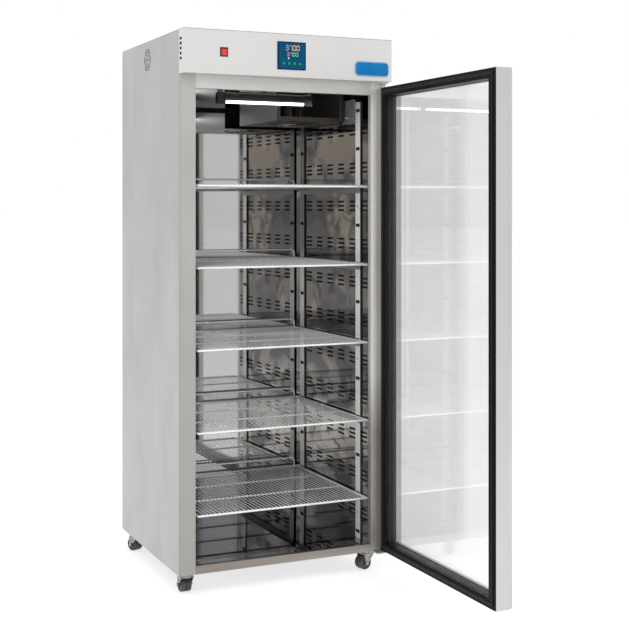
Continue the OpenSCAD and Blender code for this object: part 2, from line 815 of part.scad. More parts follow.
module door_stile_hinge() at_door() color(steel) linear_extrude(door_h) stile_hinge_section();

// The grip is a channel in the outer face, undercut towards the opening edge
grip_u = rebate_u - door_wall - grip_w;
grip_under = 3;
grip_under_h = grip_d - 7;
module grip_section() translate([grip_u, door_t - grip_d]) {
    square([grip_w, grip_d + cut]);
    translate([-grip_under, 0]) square([grip_under + cut, grip_under_h]);
}

module lead_stile() difference() {
    linear_extrude(door_h) stile_section(edge_r)
        translate([door_wall, door_wall]) square([hollow_w, hollow_t - grip_d]);
    translate([0, 0, grip_end]) linear_extrude(door_h - 2 * grip_end) grip_section();
}
module door_stile_lead() at_door() color(steel) translate([door_w, 0, 0]) mirror([1, 0, 0]) lead_stile();

// The rail's section, from the door's inner plane (x) and edge (y)
module rail_section() difference() {
    union() {
        square([door_t, rebate_z]);
        translate([lip_y, rebate_z - cut]) square([lip_t, lip_w + cut]);
    }
    translate([door_wall, door_wall]) square([door_t - 2 * door_wall, rebate_z - 2 * door_wall]);
}
module rail(length) rotate([90, 0, 90]) linear_extrude(length) rail_section();

rail_l = door_w - 2 * rebate_u;

module door_rail_bottom() at_door() color(steel) difference() {
    translate([rebate_u, 0, 0]) rail(rail_l);
    lip_notches();
}
module door_rail_top() at_door() color(steel) difference() {
    translate([rebate_u, 0, door_h]) mirror([0, 0, 1]) rail(rail_l);
    lip_notches();
}
// The stiles' lips run past the ends of the rails' lips
module lip_notches() for (u = [0, door_w - lip_u])
    block([u - cut, lip_y, -cut], [u + lip_u + cut, door_t + cut, door_h + cut]);

// Joint left where two strips of a frame meet at a corner
corner_gap = 0.15;

// A frame of four strips in the door's plane, between inset a and inset b, cut square: the upright
// strips pass the level ones, which end at inset b_end
module square_frame(au, az, bu, bz, y0, y1, end) {
    for (u = [au, door_w - bu]) block([u, y0, az], [u + bu - au, y1, door_h - az]);
    for (z = [az, door_h - bz])
        block([end + corner_gap, y0, z], [door_w - end - corner_gap, y1, z + bz - az]);
}

// A frame of four strips with mitred corners, between inset a and inset b
module mitred_frame(a, b, y0, y1) {
    ga = a + corner_gap;
    gb = b + corner_gap;
    module strip(points) translate([0, y1, 0]) rotate([90, 0, 0]) linear_extrude(y1 - y0)
        polygon(points);
    for (m = [0, 1]) {
        translate([0, 0, m * door_h]) mirror([0, 0, m])
            strip([[ga, a], [door_w - ga, a], [door_w - gb, b], [gb, b]]);
        translate([m * door_w, 0, 0]) mirror([m, 0, 0])
            strip([[a, ga], [b, gb], [b, door_h - gb], [a, door_h - ga]]);
    }
}

module door_trim() at_door() color(dark) {
    square_frame(trim_inset, trim_inset, stile_w, rail_h, -trim_t, 0, stile_w);
    square_frame(rebate_u, rebate_z, stile_w, rail_h, -trim_t, trim_leg, stile_w);
}

// The gasket has a wide foot and a narrower magnet pocket
gasket_foot = 1.5;
pocket_in = 1.5;
module door_gasket() at_door() color(dark) {
    mitred_frame(gasket_inset, gasket_inset + gasket_w, -trim_t - gasket_foot, -trim_t);
    mitred_frame(gasket_inset + pocket_in, gasket_inset + gasket_w - pocket_in, gasket_face, -trim_t);
}

// The bead is grooved along its length
groove = 1.5;
bead_bands = 3;
band_pitch = (glass_y - trim_leg) / bead_bands;
module glazing_bead() at_door() color([0.45, 0.45, 0.45]) {
    square_frame(rebate_u, rebate_z, stile_w - groove, rail_h - groove, trim_leg, glass_y, stile_w);
    for (i = [0:bead_bands - 1])
        square_frame(rebate_u, rebate_z, stile_w, rail_h, trim_leg + band_pitch * i + groove / 2,
            trim_leg + band_pitch * (i + 1) - groove / 2, stile_w);
}

glass_u = rebate_u + glass_play;
glass_z = rebate_z + glass_play;
module glass_panes() at_door() color([0.85, 0.9, 0.9, 0.35]) for (y = [glass_y, pane_out_y])
    block([glass_u, y, glass_z], [door_w - glass_u, y + pane_t, door_h - glass_z]);

spacer_w = 5;
module glass_spacer() at_door() color(dark) square_frame(glass_u, glass_z, glass_u + spacer_w,
    glass_z + spacer_w, glass_y + pane_t, pane_out_y, glass_u + spacer_w);

// Hinge: plugs in the ends of the hinge stile turn on pins that the brackets carry

bush_l = pin_l + 5;
module hinge_bushes() at_door() color([0.9, 0.9, 0.88]) for (z = [0, door_h - bush_l])
    translate([0, 0, z]) difference() {
        linear_extrude(bush_l) translate([door_wall, door_wall]) square([hollow_w, hollow_t]);
        translate([pin_u, pin_v, -cut]) cylinder(r = pin_r + run_gap, h = bush_l + 2 * cut);
    }

bracket_w = 44;
bracket_nose = 11;
bracket_front = hinge_y - bracket_nose;
bracket_gap = 2;
bracket_back = caster_end - plate_l / 2 - bracket_gap;
bracket_web = 3;
collar_w = 3.5;

module hinge_bracket_bottom() at_cabinet() color(steel) {
    block([shell_x - bracket_w, bracket_front, base_z - bracket_t], [shell_x, bracket_back, base_z]);
    translate([hinge_x, hinge_y, base_z - cut]) {
        cylinder(r = pin_r, h = door_lift + pin_l + cut);
        cylinder(r = pin_r + collar_w, h = door_lift - seat_gap + cut);
    }
}

module hinge_bracket_top() at_cabinet() color(steel) {
    z = header_z - bracket_t;
    block([shell_x - bracket_w, bracket_front, z], [shell_x, 0, header_z]);
    block([shell_x - bracket_w, -bracket_web, door_top + bracket_gap], [shell_x, 0, header_z]);
    translate([hinge_x, hinge_y, door_top - pin_l]) cylinder(r = pin_r, h = z - door_top + pin_l + cut);
}

// Casters

module caster_place(i) at_cabinet() translate([caster_at[i][0], caster_at[i][1], 0]) children();

pin_foot = 2;

module caster_plate() difference() {
    union() {
        block([-plate_w / 2, -plate_l / 2, caster_h - plate_t], [plate_w / 2, plate_l / 2, caster_h]);
        translate([0, 0, race_z]) cylinder(r = race_r, h = caster_h - race_z);
        translate([0, 0, crown_z - pin_foot]) cylinder(r = kingpin_r, h = caster_h - crown_z);
    }
    for (x = [-1, 1], y = [-1, 1])
        translate([x * (plate_w / 2 - plate_hole_in[0]), y * (plate_l / 2 - plate_hole_in[1]),
                caster_h - plate_t - cut])
            cylinder(r = plate_hole_r, h = plate_t + 2 * cut);
}
module caster_plates() color([0.7, 0.7, 0.7]) for (i = [0:3]) caster_place(i) caster_plate();

fork_end = 18;
race_rim = 2;
cheek_out = cheek_in + fork_side_t;
cheek_nose = 8;

// A pressed fork: a crown with a race, and two cheeks that taper to the axle
module fork_body() difference() {
    union() {
        translate([0, 0, crown_z]) cylinder(r = race_r + race_rim, h = crown_t);
        block([-cheek_out, -fork_end, crown_z], [cheek_out, fork_end + trail / 2, crown_z + crown_t]);
        translate([0, 0, crown_z]) cylinder(r = race_r, h = race_z - crown_z - seat_gap);
        for (s = [0, 1]) mirror([s, 0, 0]) run_x(cheek_in, cheek_out) cheek_outline();
    }
    translate([0, 0, crown_z - cut]) cylinder(r = kingpin_r + run_gap, h = race_z - crown_z + 2 * cut);
    translate([0, trail, roller_d / 2]) rotate([0, 90, 0])
        cylinder(r = axle_r + run_gap, h = 4 * roller_w, center = true);
}

module cheek_outline() {
    polygon([[-fork_end, crown_z + crown_t], [fork_end + trail / 2, crown_z + crown_t],
        [trail + cheek_nose, roller_d / 2], [trail - cheek_nose, roller_d / 2]]);
    translate([trail, roller_d / 2]) circle(r = cheek_nose);
}

bolt_head_t = 3;
bolt_head_r = axle_r + 2.5;

module axle_bolt() translate([0, trail, roller_d / 2]) rotate([0, 90, 0]) {
    cylinder(r = axle_r, h = 2 * (cheek_out + cut), center = true);
    for (s = [0, 1]) mirror([0, 0, s]) translate([0, 0, cheek_out + seat_gap])
        cylinder(r = bolt_head_r, h = bolt_head_t - seat_gap);
}

module fork(i) caster_place(i) rotate([0, 0, caster_turn[i]]) color([0.7, 0.7, 0.7]) {
    fork_body();
    axle_bolt();
}
module fork_front_left() fork(0);
module fork_front_right() fork(1);
module fork_rear_left() fork(2);
module fork_rear_right() fork(3);

// A roller with two treads and a groove between them
tread_r = 5;
groove_w = 3;
groove_d = 3;
bore_r = axle_r + run_gap;
rim_r = roller_d / 2;
side_r = rim_r - tread_r;
dish_in = axle_r + 5;
dish_out = side_r - 2;
dish_d = 2;

module roller(i) caster_place(i) rotate([0, 0, caster_turn[i]]) color(dark)
    translate([0, trail, rim_r]) rotate([0, 90, 0]) rotate_extrude() difference() {
        union() {
            translate([bore_r, -roller_w / 2]) square([side_r - bore_r, roller_w]);
            translate([bore_r, tread_r - roller_w / 2]) square([rim_r - bore_r, roller_w - 2 * tread_r]);
            for (s = [-1, 1]) translate([side_r, s * (roller_w / 2 - tread_r)]) circle(r = tread_r);
        }
        translate([rim_r - groove_d, -groove_w / 2]) square([groove_d + cut, groove_w]);
        for (s = [-1, 1])
            translate([dish_in, s * roller_w / 2 - dish_d]) square([dish_out - dish_in, 2 * dish_d]);
    }
module roller_front_left() roller(0);
module roller_front_right() roller(1);
module roller_rear_left() roller(2);
module roller_rear_right() roller(3);

side_panel_left();
side_panel_right();
back_panel();
base_panel();
top_cover();
front_post_left();
front_post_right();
head_rail();
sill();
header_fascia();
insulation();
liner();
duct_panel_left();
duct_panel_right();
uprights_left();
uprights_right();
runners_left();
runners_right();
shelf_1();
shelf_2();
shelf_3();
shelf_4();
shelf_5();
fan_housing();
fan_motor();
fan_impeller();
heater_element();
lamp_batten();
lamp_tube();
temperature_probe();
mains_inlet();
controller();
controller_window();
key_1();
key_2();
key_3();
key_4();
switch_housing();
rocker();
door_stile_hinge();
door_stile_lead();
door_rail_top();
door_rail_bottom();
door_trim();
door_gasket();
glazing_bead();
glass_panes();
glass_spacer();
hinge_bushes();
hinge_bracket_top();
hinge_bracket_bottom();
caster_plates();
fork_front_left();
fork_front_right();
fork_rear_left();
fork_rear_right();
roller_front_left();
roller_front_right();
roller_rear_left();
roller_rear_right();
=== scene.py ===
"""Studio scene of a tall warming cabinet on casters with its glazed door open.

Shapes are drawn in millimetres in the cabinet's own axes (x across from its middle, y back from
its front frame, z up from the floor), and at() turns them into the row frame's metres. Materials
count their features per metre, and name heights on the cabinet in metres of the row frame.
"""

import math

import bmesh
import bpy
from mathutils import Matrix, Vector


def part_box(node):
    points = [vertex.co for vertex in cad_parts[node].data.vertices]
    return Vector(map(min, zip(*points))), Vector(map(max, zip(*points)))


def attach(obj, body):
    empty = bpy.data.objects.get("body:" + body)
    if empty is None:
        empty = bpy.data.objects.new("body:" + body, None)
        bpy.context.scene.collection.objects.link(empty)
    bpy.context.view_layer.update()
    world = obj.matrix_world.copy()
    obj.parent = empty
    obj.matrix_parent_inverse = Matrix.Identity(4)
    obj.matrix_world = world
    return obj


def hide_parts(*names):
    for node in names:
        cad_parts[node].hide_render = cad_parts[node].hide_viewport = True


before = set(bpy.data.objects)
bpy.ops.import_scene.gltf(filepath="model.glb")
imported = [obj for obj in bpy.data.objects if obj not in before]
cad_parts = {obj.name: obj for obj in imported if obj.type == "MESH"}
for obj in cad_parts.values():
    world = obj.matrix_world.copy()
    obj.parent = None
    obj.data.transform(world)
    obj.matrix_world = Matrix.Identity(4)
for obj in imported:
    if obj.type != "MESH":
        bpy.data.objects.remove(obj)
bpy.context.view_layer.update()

MM = 0.001


def row_box(node):
    """A node's lowest and highest corners at rest in the row frame, in millimetres."""
    return [[round(value / MM, 2) for value in corner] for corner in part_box(node)]


# The cabinet's middle and front frame in the row frame
cover_low, cover_high = row_box("top_cover")
MIDDLE_X = (cover_low[0] + cover_high[0]) / 2
FRONT_Y = row_box("front_post_left")[0][1]


def at(x, y, z):
    """A point of the cabinet in the row frame."""
    return Vector(((x + MIDDLE_X) * MM, (y + FRONT_Y) * MM, z * MM))


def box(node):
    """A node's lowest and highest corners at rest, in the cabinet's axes."""
    return [(x - MIDDLE_X, y - FRONT_Y, z) for x, y, z in row_box(node)]


def middle(node):
    """The middle of a node's box at rest, in the cabinet's axes."""
    return [(low + high) / 2 for low, high in zip(*box(node))]


def put(name, data):
    """Adds an object with that data to the scene."""
    made = bpy.data.objects.new(name, data)
    bpy.context.scene.collection.objects.link(made)
    return made


# Camera, fitted to the cabinet's straight edges in the photograph

IMAGE = 629.0
FOCAL_PX = 1267.40
CENTRE_PX = (354.563, 205.388)
CAMERA_AT = (-1696.29, -4082.12, 1319.74)
CAMERA_YAW = math.radians(25.6564)
SENSOR = 36.0
FAR_CLIP = 200.0

camera = put("camera", bpy.data.cameras.new("camera"))
bpy.context.scene.camera = camera
camera.data.sensor_width = SENSOR
camera.data.lens = FOCAL_PX / IMAGE * SENSOR
camera.data.shift_x = 0.5 - CENTRE_PX[0] / IMAGE
camera.data.shift_y = CENTRE_PX[1] / IMAGE - 0.5
camera.data.clip_end = FAR_CLIP
camera.location = at(*CAMERA_AT)
camera.rotation_euler = (math.radians(90), 0, -CAMERA_YAW)
bpy.context.scene.view_settings.view_transform = "Standard"


# Node helpers


def linear(r, g, b):
    """A colour written as 0-255 sRGB, for a shader socket."""
    out = []
    for c in (r, g, b):
        c /= 255.0
        out.append(c / 12.92 if c <= 0.04045 else ((c + 0.055) / 1.055) ** 2.4)
    return (*out, 1.0)


def grey(value):
    """An even grey of that linear value, for a shader socket."""
    return (value, value, value, 1.0)


def math_node(tree, operation, *factors):
    """The result of a math node over one or two factors."""
    made = tree.nodes.new("ShaderNodeMath")
    made.operation = operation
    for factor, socket in zip(factors, made.inputs):
        tree.links.new(factor, socket)
    return made.outputs[0]


def greatest(tree, first, *others):
    """The greatest of several factors."""
    for other in others:
        first = math_node(tree, "MAXIMUM", first, other)
    return first


def choose(tree, factor, first, second):
    """Makes the material's surface the first shader where the factor is 0, the second where 1."""
    pick = tree.nodes.new("ShaderNodeMixShader")
    for source, socket in zip((factor, first, second), pick.inputs):
        tree.links.new(source, socket)
    tree.links.new(pick.outputs[0], tree.nodes["Material Output"].inputs["Surface"])


def seen_or_mirrored(tree):
    """1 for rays from the camera, and for what metal and glass show."""
    path = tree.nodes.new("ShaderNodeLightPath").outputs
    return greatest(
        tree, path["Is Camera Ray"], path["Is Glossy Ray"], path["Is Transmission Ray"]
    )


# Parts of a factor's range: the middle, for soft patches of noise, or all of it, as it is
PATCHES = (0.3, 0.7)
WHOLE = (0.0, 1.0)
LEAST_ROUGH = 0.02


class Look:
    """A material with procedural variation of its colour, gloss and relief, in real scale."""

    def __init__(self, name, color, rough, metal=0.0, **sockets):
        self.mat = bpy.data.materials.new(name)
        self.mat.use_nodes = True
        self.tree = self.mat.node_tree
        self.shader = self.tree.nodes["Principled BSDF"]
        self.rough = rough
        self.set("Base Color", linear(*color))
        self.set("Roughness", rough)
        self.set("Metallic", metal)
        for key, value in sockets.items():
            self.set(key.replace("_", " "), value)
        self.coords = self.node("ShaderNodeTexCoord").outputs["Object"]
        self.last_bump = None

    def set(self, socket, value):
        self.shader.inputs[socket].default_value = value

    def node(self, kind, **inputs):
        made = self.tree.nodes.new(kind)
        for key, value in inputs.items():
            made.inputs[key].default_value = value
        return made

    def link(self, source, socket):
        self.tree.links.new(source, socket)

    def component(self, vector, axis):
        """One axis of a vector, "X", "Y" or "Z"."""
        split = self.node("ShaderNodeSeparateXYZ")
        self.link(vector, split.inputs[0])
        return split.outputs[axis]

    def stretched(self, scale):
        """Object coordinates in features per metre, one count for all axes or one for each."""
        if isinstance(scale, float):
            scale = (scale, scale, scale)
        mapping = self.node("ShaderNodeMapping", Scale=scale)
        self.link(self.coords, mapping.inputs["Vector"])
        return mapping.outputs["Vector"]

    def noise(self, scale, detail=3.0, rough=0.55, distortion=0.0):
        made = self.node(
            "ShaderNodeTexNoise", Scale=1.0, Detail=detail, Roughness=rough, Distortion=distortion
        )
        self.link(self.stretched(scale), made.inputs["Vector"])
        return made.outputs["Fac"]

    def cells(self, scale):
        made = self.node("ShaderNodeTexVoronoi", Scale=1.0)
        self.link(self.stretched(scale), made.inputs["Vector"])
        return made.outputs["Distance"]

    def ramp(self, factor, low, high, between=PATCHES):
        """Takes a factor from low to high as it goes between two values."""
        made = self.node("ShaderNodeMapRange")
        ends = {"From Min": between[0], "From Max": between[1], "To Min": low, "To Max": high}
        for key, value in ends.items():
            made.inputs[key].default_value = value
        self.link(factor, made.inputs["Value"])
        return made.outputs["Result"]

    def tint(self, factor, other, amount, between=PATCHES):
        """Mixes another colour in, more of it as the factor goes between two values."""
        mix = self.tree.nodes.new("ShaderNodeMix")
        mix.data_type = "RGBA"
        socket = self.shader.inputs["Base Color"]
        if socket.is_linked:
            self.link(socket.links[0].from_socket, mix.inputs[6])
        else:
            mix.inputs[6].default_value = socket.default_value
        mix.inputs[7].default_value = linear(*other)
        self.link(self.ramp(factor, 0.0, amount, between), mix.inputs[0])
        self.link(mix.outputs[2], socket)
        return self

    def along(self, axis, start, end):
        """0 at one place along an axis and 1 at the other, in metres of the row frame."""
        return self.ramp(self.component(self.coords, axis), 0.0, 1.0, (start, end))

    def both(self, a, b):
        """High only where both factors are."""
        return math_node(self.tree, "MULTIPLY", a, b)

    def fade(self, axis, start, end, other, amount):
        """Mixes another colour in along an axis: none of it at the start, and all at the end."""
        return self.tint(self.along(axis, start, end), other, amount, WHOLE)

    def paint_light_by_facing(self, axis, other):
        """Painted light or shade on the faces that look along an axis, such as shaded flanges."""
        normal = self.node("ShaderNodeTexCoord").outputs["Normal"]
        facing = math_node(self.tree, "ABSOLUTE", self.component(normal, axis))
        return self.tint(facing, other, 1.0)

    def gloss(self, factor, spread):
        """Varies the roughness by that much either way."""
        smooth = max(LEAST_ROUGH, self.rough - spread)
        dull = self.rough + spread
        self.link(self.ramp(factor, smooth, dull), self.shader.inputs["Roughness"])
        return self

    def relief(self, factor, height):
        """Bumps of that height in millimetres."""
        bump = self.node("ShaderNodeBump", Strength=1.0, Distance=height * MM)
        self.link(factor, bump.inputs["Height"])
        if self.last_bump:
            self.link(self.last_bump.outputs["Normal"], bump.inputs["Normal"])
        self.link(bump.outputs["Normal"], self.shader.inputs["Normal"])
        self.last_bump = bump
        return self

    def lean(self, axis, slope):
        """Tilts the normals along an axis, for a sheet that isn't quite square to the others."""
        return self.relief(self.component(self.coords, axis), slope / MM)

    def glow(self, color, strength):
        """Gives the surface a light of its own."""
        self.set("Emission Color", linear(*color))
        self.set("Emission Strength", strength)
        return self


# Kinds of finish


def grain(along, across_count, along_count):
    """Counts per metre, for each axis, of a grain that runs along one of them."""
    counts = [across_count] * 3
    counts["XYZ".index(along)] = along_count
    return counts


def brushed(name, color, rough, along, dark, cloud=0.25):
    """Brushed stainless sheet: fine lines along one axis, faint cloudy patches, handling smears."""
    look = Look(name, color, rough, metal=1.0)
    lines = look.noise(grain(along, 900.0, 5.0), 4.0, 0.7)
    look.tint(lines, dark, 0.35)
    look.tint(look.noise(grain(along, 60.0, 1.2), 2.0), dark, cloud)
    look.tint(look.noise((2.1, 2.1, 1.3)), dark, cloud)
    look.gloss(look.noise((6.0, 6.0, 3.0)), rough * 0.2)
    look.relief(lines, 0.004)
    return look.mat


def polished(name, color, rough, dark, wave):
    """Polished metal of screws and sheaths: slow waves, dull patches, a faint drawn grain."""
    look = Look(name, color, rough, metal=1.0)
    look.tint(look.noise((3.0, 3.0, 2.2), 2.0), dark, 0.45)
    look.gloss(look.noise((9.0, 9.0, 4.0)), rough * 0.5)
    look.relief(look.noise((5.0, 5.0, 3.5), 1.0), wave)
    look.relief(look.noise(grain("Z", 700.0, 8.0), 2.0), 0.001)
    return look.mat


def satin(name, color, along, dark):
    """Satin sheet: brushed, with a part of its light scattered evenly by the grain."""
    look = Look(name, color, 0.34, metal=0.5)
    lines = look.noise(grain(along, 800.0, 6.0), 4.0, 0.7)
    look.tint(lines, dark, 0.25)
    look.tint(look.noise(grain(along, 70.0, 1.5), 2.0), dark, 0.4)
    look.tint(look.noise((2.6, 2.6, 2.2), 2.0), dark, 0.6)
    look.gloss(look.noise((6.0, 6.0, 3.0)), 0.06)
    look.relief(lines, 0.003)
    return look


def mirror(name, color, dark, wave, rough=0.03):
    """Bright annealed lining sheet: nearly a mirror, with slow waves and faint wiped patches."""
    look = Look(name, color, rough, metal=1.0)
    look.tint(look.noise((3.0, 3.0, 2.2), 2.0), dark, 0.4)
    look.gloss(look.noise((9.0, 9.0, 4.0)), rough * 0.4)
    look.relief(look.noise((4.0, 4.0, 3.0), 1.0), wave)
    return look


def plastic(name, color, rough, dark, texture=0.02, count=900.0, shine=0.5):
    """Moulded plastic or paint: a fine even texture, faint cloudy patches, a varied gloss."""
    look = Look(name, color, rough, Specular_IOR_Level=shine)
    pores = look.noise(count, 2.0)
    look.tint(look.noise((14.0, 14.0, 9.0)), dark, 0.4)
    look.gloss(look.noise(25.0), rough * 0.15)
    look.relief(pores, texture)
    return look.mat


def lit(name, color, power, shade):
    """A lit display bar or lamp lens."""
    look = Look(name, color, 0.4).glow(color, power)
    return look.tint(look.noise(160.0, 2.0), shade, 0.5).mat


# Finishes with marks of their own


def left_post():
    """Front post, painted darker than the right one, with a painted dark reflection at its foot."""
    look = satin("post_left_steel", (190, 188, 184), "Z", (166, 163, 156))
    # Painted reflection: darker towards the foot
    return look.fade("Z", 1.6, 0.3, (162, 160, 154), 0.8).mat


def right_post():
    """Front post by the open door, painted brighter as if lit, with a painted dark reflection at
    its foot.
    """
    look = satin("post_right_steel", (238, 236, 233), "Z", (212, 209, 204))
    # Painted reflection: darker at the foot
    return look.fade("Z", 0.72, 0.5, (150, 146, 140), 0.85).mat


def liner_steel():
    """Lining sheet, a little out of true, with painted shade at its foot and a painted pale
    reflection at the air slot.
    """
    look = mirror("liner_steel", (186, 186, 185), (172, 172, 173), 0.06)
    # Painted shade towards the foot
    look.fade("Z", 0.34, 0.2, (150, 150, 152), 0.8)
    # Painted pale reflection near the air slot
    look.fade("Z", 1.63, 1.67, (250, 250, 250), 0.95)
    return look.lean("X", -0.0105).mat


def shelf_chrome():
    """Bright plated wire that scatters a part of its light."""
    look = Look("shelf_chrome", (250, 251, 252), 0.22, metal=0.5)
    look.tint(look.noise(6.0), (220, 221, 223), 0.5)
    look.gloss(look.noise(20.0), 0.06)
    return look.relief(look.noise(500.0, 2.0), 0.002).mat


def duct_steel():
    """Louvred lining sheet with painted reflections: the bays of a mirrored room, blotches of three
    tones.
    """
    look = mirror("duct_steel", (132, 128, 124), (112, 108, 105), 0.25, 0.05)
    # Painted reflections: a warm tone high up, a pale one low down, a dark second bay
    look.fade("Z", 1.25, 1.6, (156, 142, 128), 0.8)
    look.fade("Z", 0.75, 0.5, (222, 218, 213), 0.85)
    dark_bay_reflection = look.both(look.along("Z", 1.02, 1.1), look.along("Z", 1.42, 1.34))
    look.tint(dark_bay_reflection, (78, 74, 74), 0.75, WHOLE)
    warm_reflection = look.noise((1.6, 4.4, 4.0), distortion=0.7)
    look.tint(warm_reflection, (176, 163, 146), 0.7, (0.53, 0.6))
    cool_reflection = look.noise((1.2, 3.4, 5.4), distortion=0.6)
    look.tint(cool_reflection, (84, 84, 92), 0.7, (0.5, 0.57))
    # Dark blotches of painted reflection
    dark = look.noise((1.4, 5.6, 7.0), rough=0.6, distortion=0.8)
    return look.tint(dark, (62, 57, 54), 0.7, (0.52, 0.6)).mat


def upright_steel():
    """Pale shelf uprights, with a painted dark reflection atop the far ones and painted shade on
    flanges.
    """
    look = Look("upright_steel", (255, 255, 254), 0.2, metal=0.15)
    look.tint(look.noise(grain("Z", 40.0, 3.0)), (242, 242, 240), 0.5)
    # Painted dark reflection at the top of the far uprights
    far_top_reflection = look.both(look.along("Y", 0.3, 0.32), look.along("Z", 1.1, 1.16))
    look.tint(far_top_reflection, (92, 88, 86), 0.9, WHOLE)
    # Painted shade on the flanges
    look.paint_light_by_facing("Y", (38, 36, 35))
    look.gloss(look.noise(grain("Z", 30.0, 8.0), 2.0), 0.05)
    return look.relief(look.noise(grain("Z", 900.0, 12.0), 2.0), 0.002).mat


def housing_steel():
    """Dark fan housing, its sideways faces painted paler as if lit."""
    look = Look("housing_steel", (84, 78, 73), 0.34, metal=0.8)
    look.tint(look.noise(grain("X", 500.0, 5.0)), (46, 43, 41), 0.5)
    look.tint(look.noise(6.0, 2.0), (44, 40, 38), 0.6)
    # Painted light: the sideways faces paler
    look.paint_light_by_facing("X", (162, 161, 159))
    return look.relief(look.noise(grain("X", 700.0, 5.0)), 0.003).mat


def black_trim():
    """Matt black door trim with faint grey patches."""
    look = Look("black_trim", (13, 12, 12), 0.55, Specular_IOR_Level=0.16)
    look.tint(look.noise((12.0, 12.0, 8.0)), (20, 19, 19), 0.5)
    look.gloss(look.noise((30.0, 30.0, 20.0)), 0.06)
    return look.relief(look.noise(700.0, 2.0), 0.02).mat


def control_window():
    """The controller's tinted window, thinly coated."""
    look = Look("control_window", (0, 72, 112), 0.3, Specular_IOR_Level=0.1, Coat_Weight=0.03)
    return look.tint(look.noise(30.0, 2.0), (0, 58, 94), 0.5).mat


def rocker_red():
    """Glossy red rocker with a faint light of its own."""
    look = Look("rocker_red", (214, 30, 36), 0.3, Coat_Weight=0.4).glow((220, 24, 34), 0.1)
    look.tint(look.noise(120.0, 2.0), (180, 18, 26), 0.5)
    return look.relief(look.noise(600.0, 2.0), 0.02).mat


def lamp_white():
    """The lamp's lit glass."""
    look = Look("lamp_white", (238, 240, 240), 0.3).glow((245, 248, 255), 3.6)
    return look.tint(look.noise(grain("X", 60.0, 8.0), 2.0), (214, 216, 216), 0.5).mat


def foam():
    """Blown foam with its open cells."""
    look = Look("foam", (222, 206, 160), 0.9)
    look.tint(look.noise(40.0, 4.0), (196, 176, 124), 0.8)
    return look.relief(look.cells(260.0), 0.4).mat


def gasket_rubber():
    """Black rubber with a faint bloom and a fine skin."""
    look = Look("gasket_rubber", (14, 13, 13), 0.5, Sheen_Weight=0.05, Specular_IOR_Level=0.2)
    look.tint(look.noise((30.0, 30.0, 6.0)), (22, 20, 20), 0.6)
    look.gloss(look.noise((80.0, 80.0, 20.0)), 0.08)
    return look.relief(look.noise(700.0, 2.0), 0.03).mat


def door_glass():
    """Glass that lets light for the chamber and the floor, and what steel mirrors, pass freely."""
    look = Look("door_glass", (250, 250, 250), 0.0, Transmission_Weight=1.0, IOR=1.5)
    look.tint(look.noise(3.0, 2.0), (244, 246, 246), 0.5)
    path = look.node("ShaderNodeLightPath").outputs
    mirrored = math_node(look.tree, "SUBTRACT", path["Is Glossy Ray"], path["Is Transmission Ray"])
    passing = greatest(look.tree, mirrored, path["Is Diffuse Ray"], path["Is Shadow Ray"])
    clear = look.node("ShaderNodeBsdfTransparent")
    choose(look.tree, passing, look.shader.outputs[0], clear.outputs[0])
    return look.mat


M_SIDE = brushed("side_steel", (184, 184, 185), 0.34, "Z", (172, 172, 173))
M_HEADER = brushed("header_steel", (228, 227, 226), 0.36, "X", (217, 216, 215))
M_POST_LEFT = left_post()
M_POST_RIGHT = right_post()
M_HEAD = satin("head_rail_steel", (216, 215, 212), "X", (188, 186, 182)).mat
M_SILL = brushed("sill_steel", (166, 160, 154), 0.24, "X", (112, 105, 99), cloud=0.5)
M_BACK = brushed("back_steel", (188, 189, 190), 0.4, "Z", (172, 173, 175))
M_LINER = liner_steel()
M_CHROME = shelf_chrome()
M_DUCT = duct_steel()
M_UPRIGHT = upright_steel()
M_RUNNER = satin("runner_steel", (176, 174, 172), "Y", (140, 138, 136)).mat
M_HOUSING = housing_steel()
M_PROBE = satin("probe_plate_steel", (186, 189, 194), "Z", (164, 166, 172)).mat
M_REFLECTOR = brushed("reflector_steel", (104, 103, 102), 0.22, "X", (64, 63, 62))
M_SCREW = polished("screw_steel", (196, 196, 196), 0.24, (150, 150, 151), wave=0.01)
# Dark sheet for painted shade behind holes, louvres, the air slot and the vents
M_PAINTED_SHADE = plastic("painted_shade_sheets", (12, 12, 12), 0.8, (7, 7, 7), texture=0.05, count=500.0)
M_DOOR = brushed("door_steel", (205, 204, 203), 0.36, "Z", (194, 193, 192))
M_RAIL = brushed("door_rail_steel", (205, 204, 203), 0.36, "Y", (194, 193, 192))
M_TRIM = black_trim()
M_BEAD = plastic("bead_grey", (40, 38, 39), 0.42, (28, 27, 28), shine=0.3)
M_SPACER = plastic("spacer_grey", (74, 72, 74), 0.5, (60, 58, 60), shine=0.3)
M_DARK = plastic("dark_plastic", (22, 22, 24), 0.5, (14, 14, 16), texture=0.05)
M_ZINC = brushed("zinc_steel", (180, 179, 178), 0.22, "Z", (116, 115, 115), cloud=0.4)
M_BUSH = plastic("bush_white", (228, 228, 222), 0.45, (210, 210, 204))
M_TREAD = plastic("caster_tread", (74, 73, 73), 0.4, (42, 41, 42), texture=0.06, count=400.0)
M_BLUE = plastic("control_blue", (0, 78, 116), 0.55, (0, 62, 96), shine=0.1)
M_NAVY = plastic("control_rim", (0, 30, 58), 0.5, (0, 22, 44), shine=0.1)
M_BADGE = plastic("badge_blue", (4, 116, 178), 0.4, (2, 96, 156), shine=0.2)
M_BADGE_RIM = plastic("badge_rim", (190, 208, 226), 0.35, (168, 190, 212))
M_KEY = plastic("key_green", (34, 140, 70), 0.5, (24, 116, 56), shine=0.2)
M_KEY_MARK = plastic("key_mark", (96, 178, 112), 0.5, (78, 156, 94), shine=0.2)
M_MARK = plastic("pale_mark", (236, 92, 88), 0.5, (214, 76, 72))
M_SWITCH = plastic("switch_black", (30, 28, 30), 0.4, (18, 17, 18))
M_MOTOR = plastic("motor_dark", (44, 44, 47), 0.45, (28, 28, 30), texture=0.08, count=300.0)
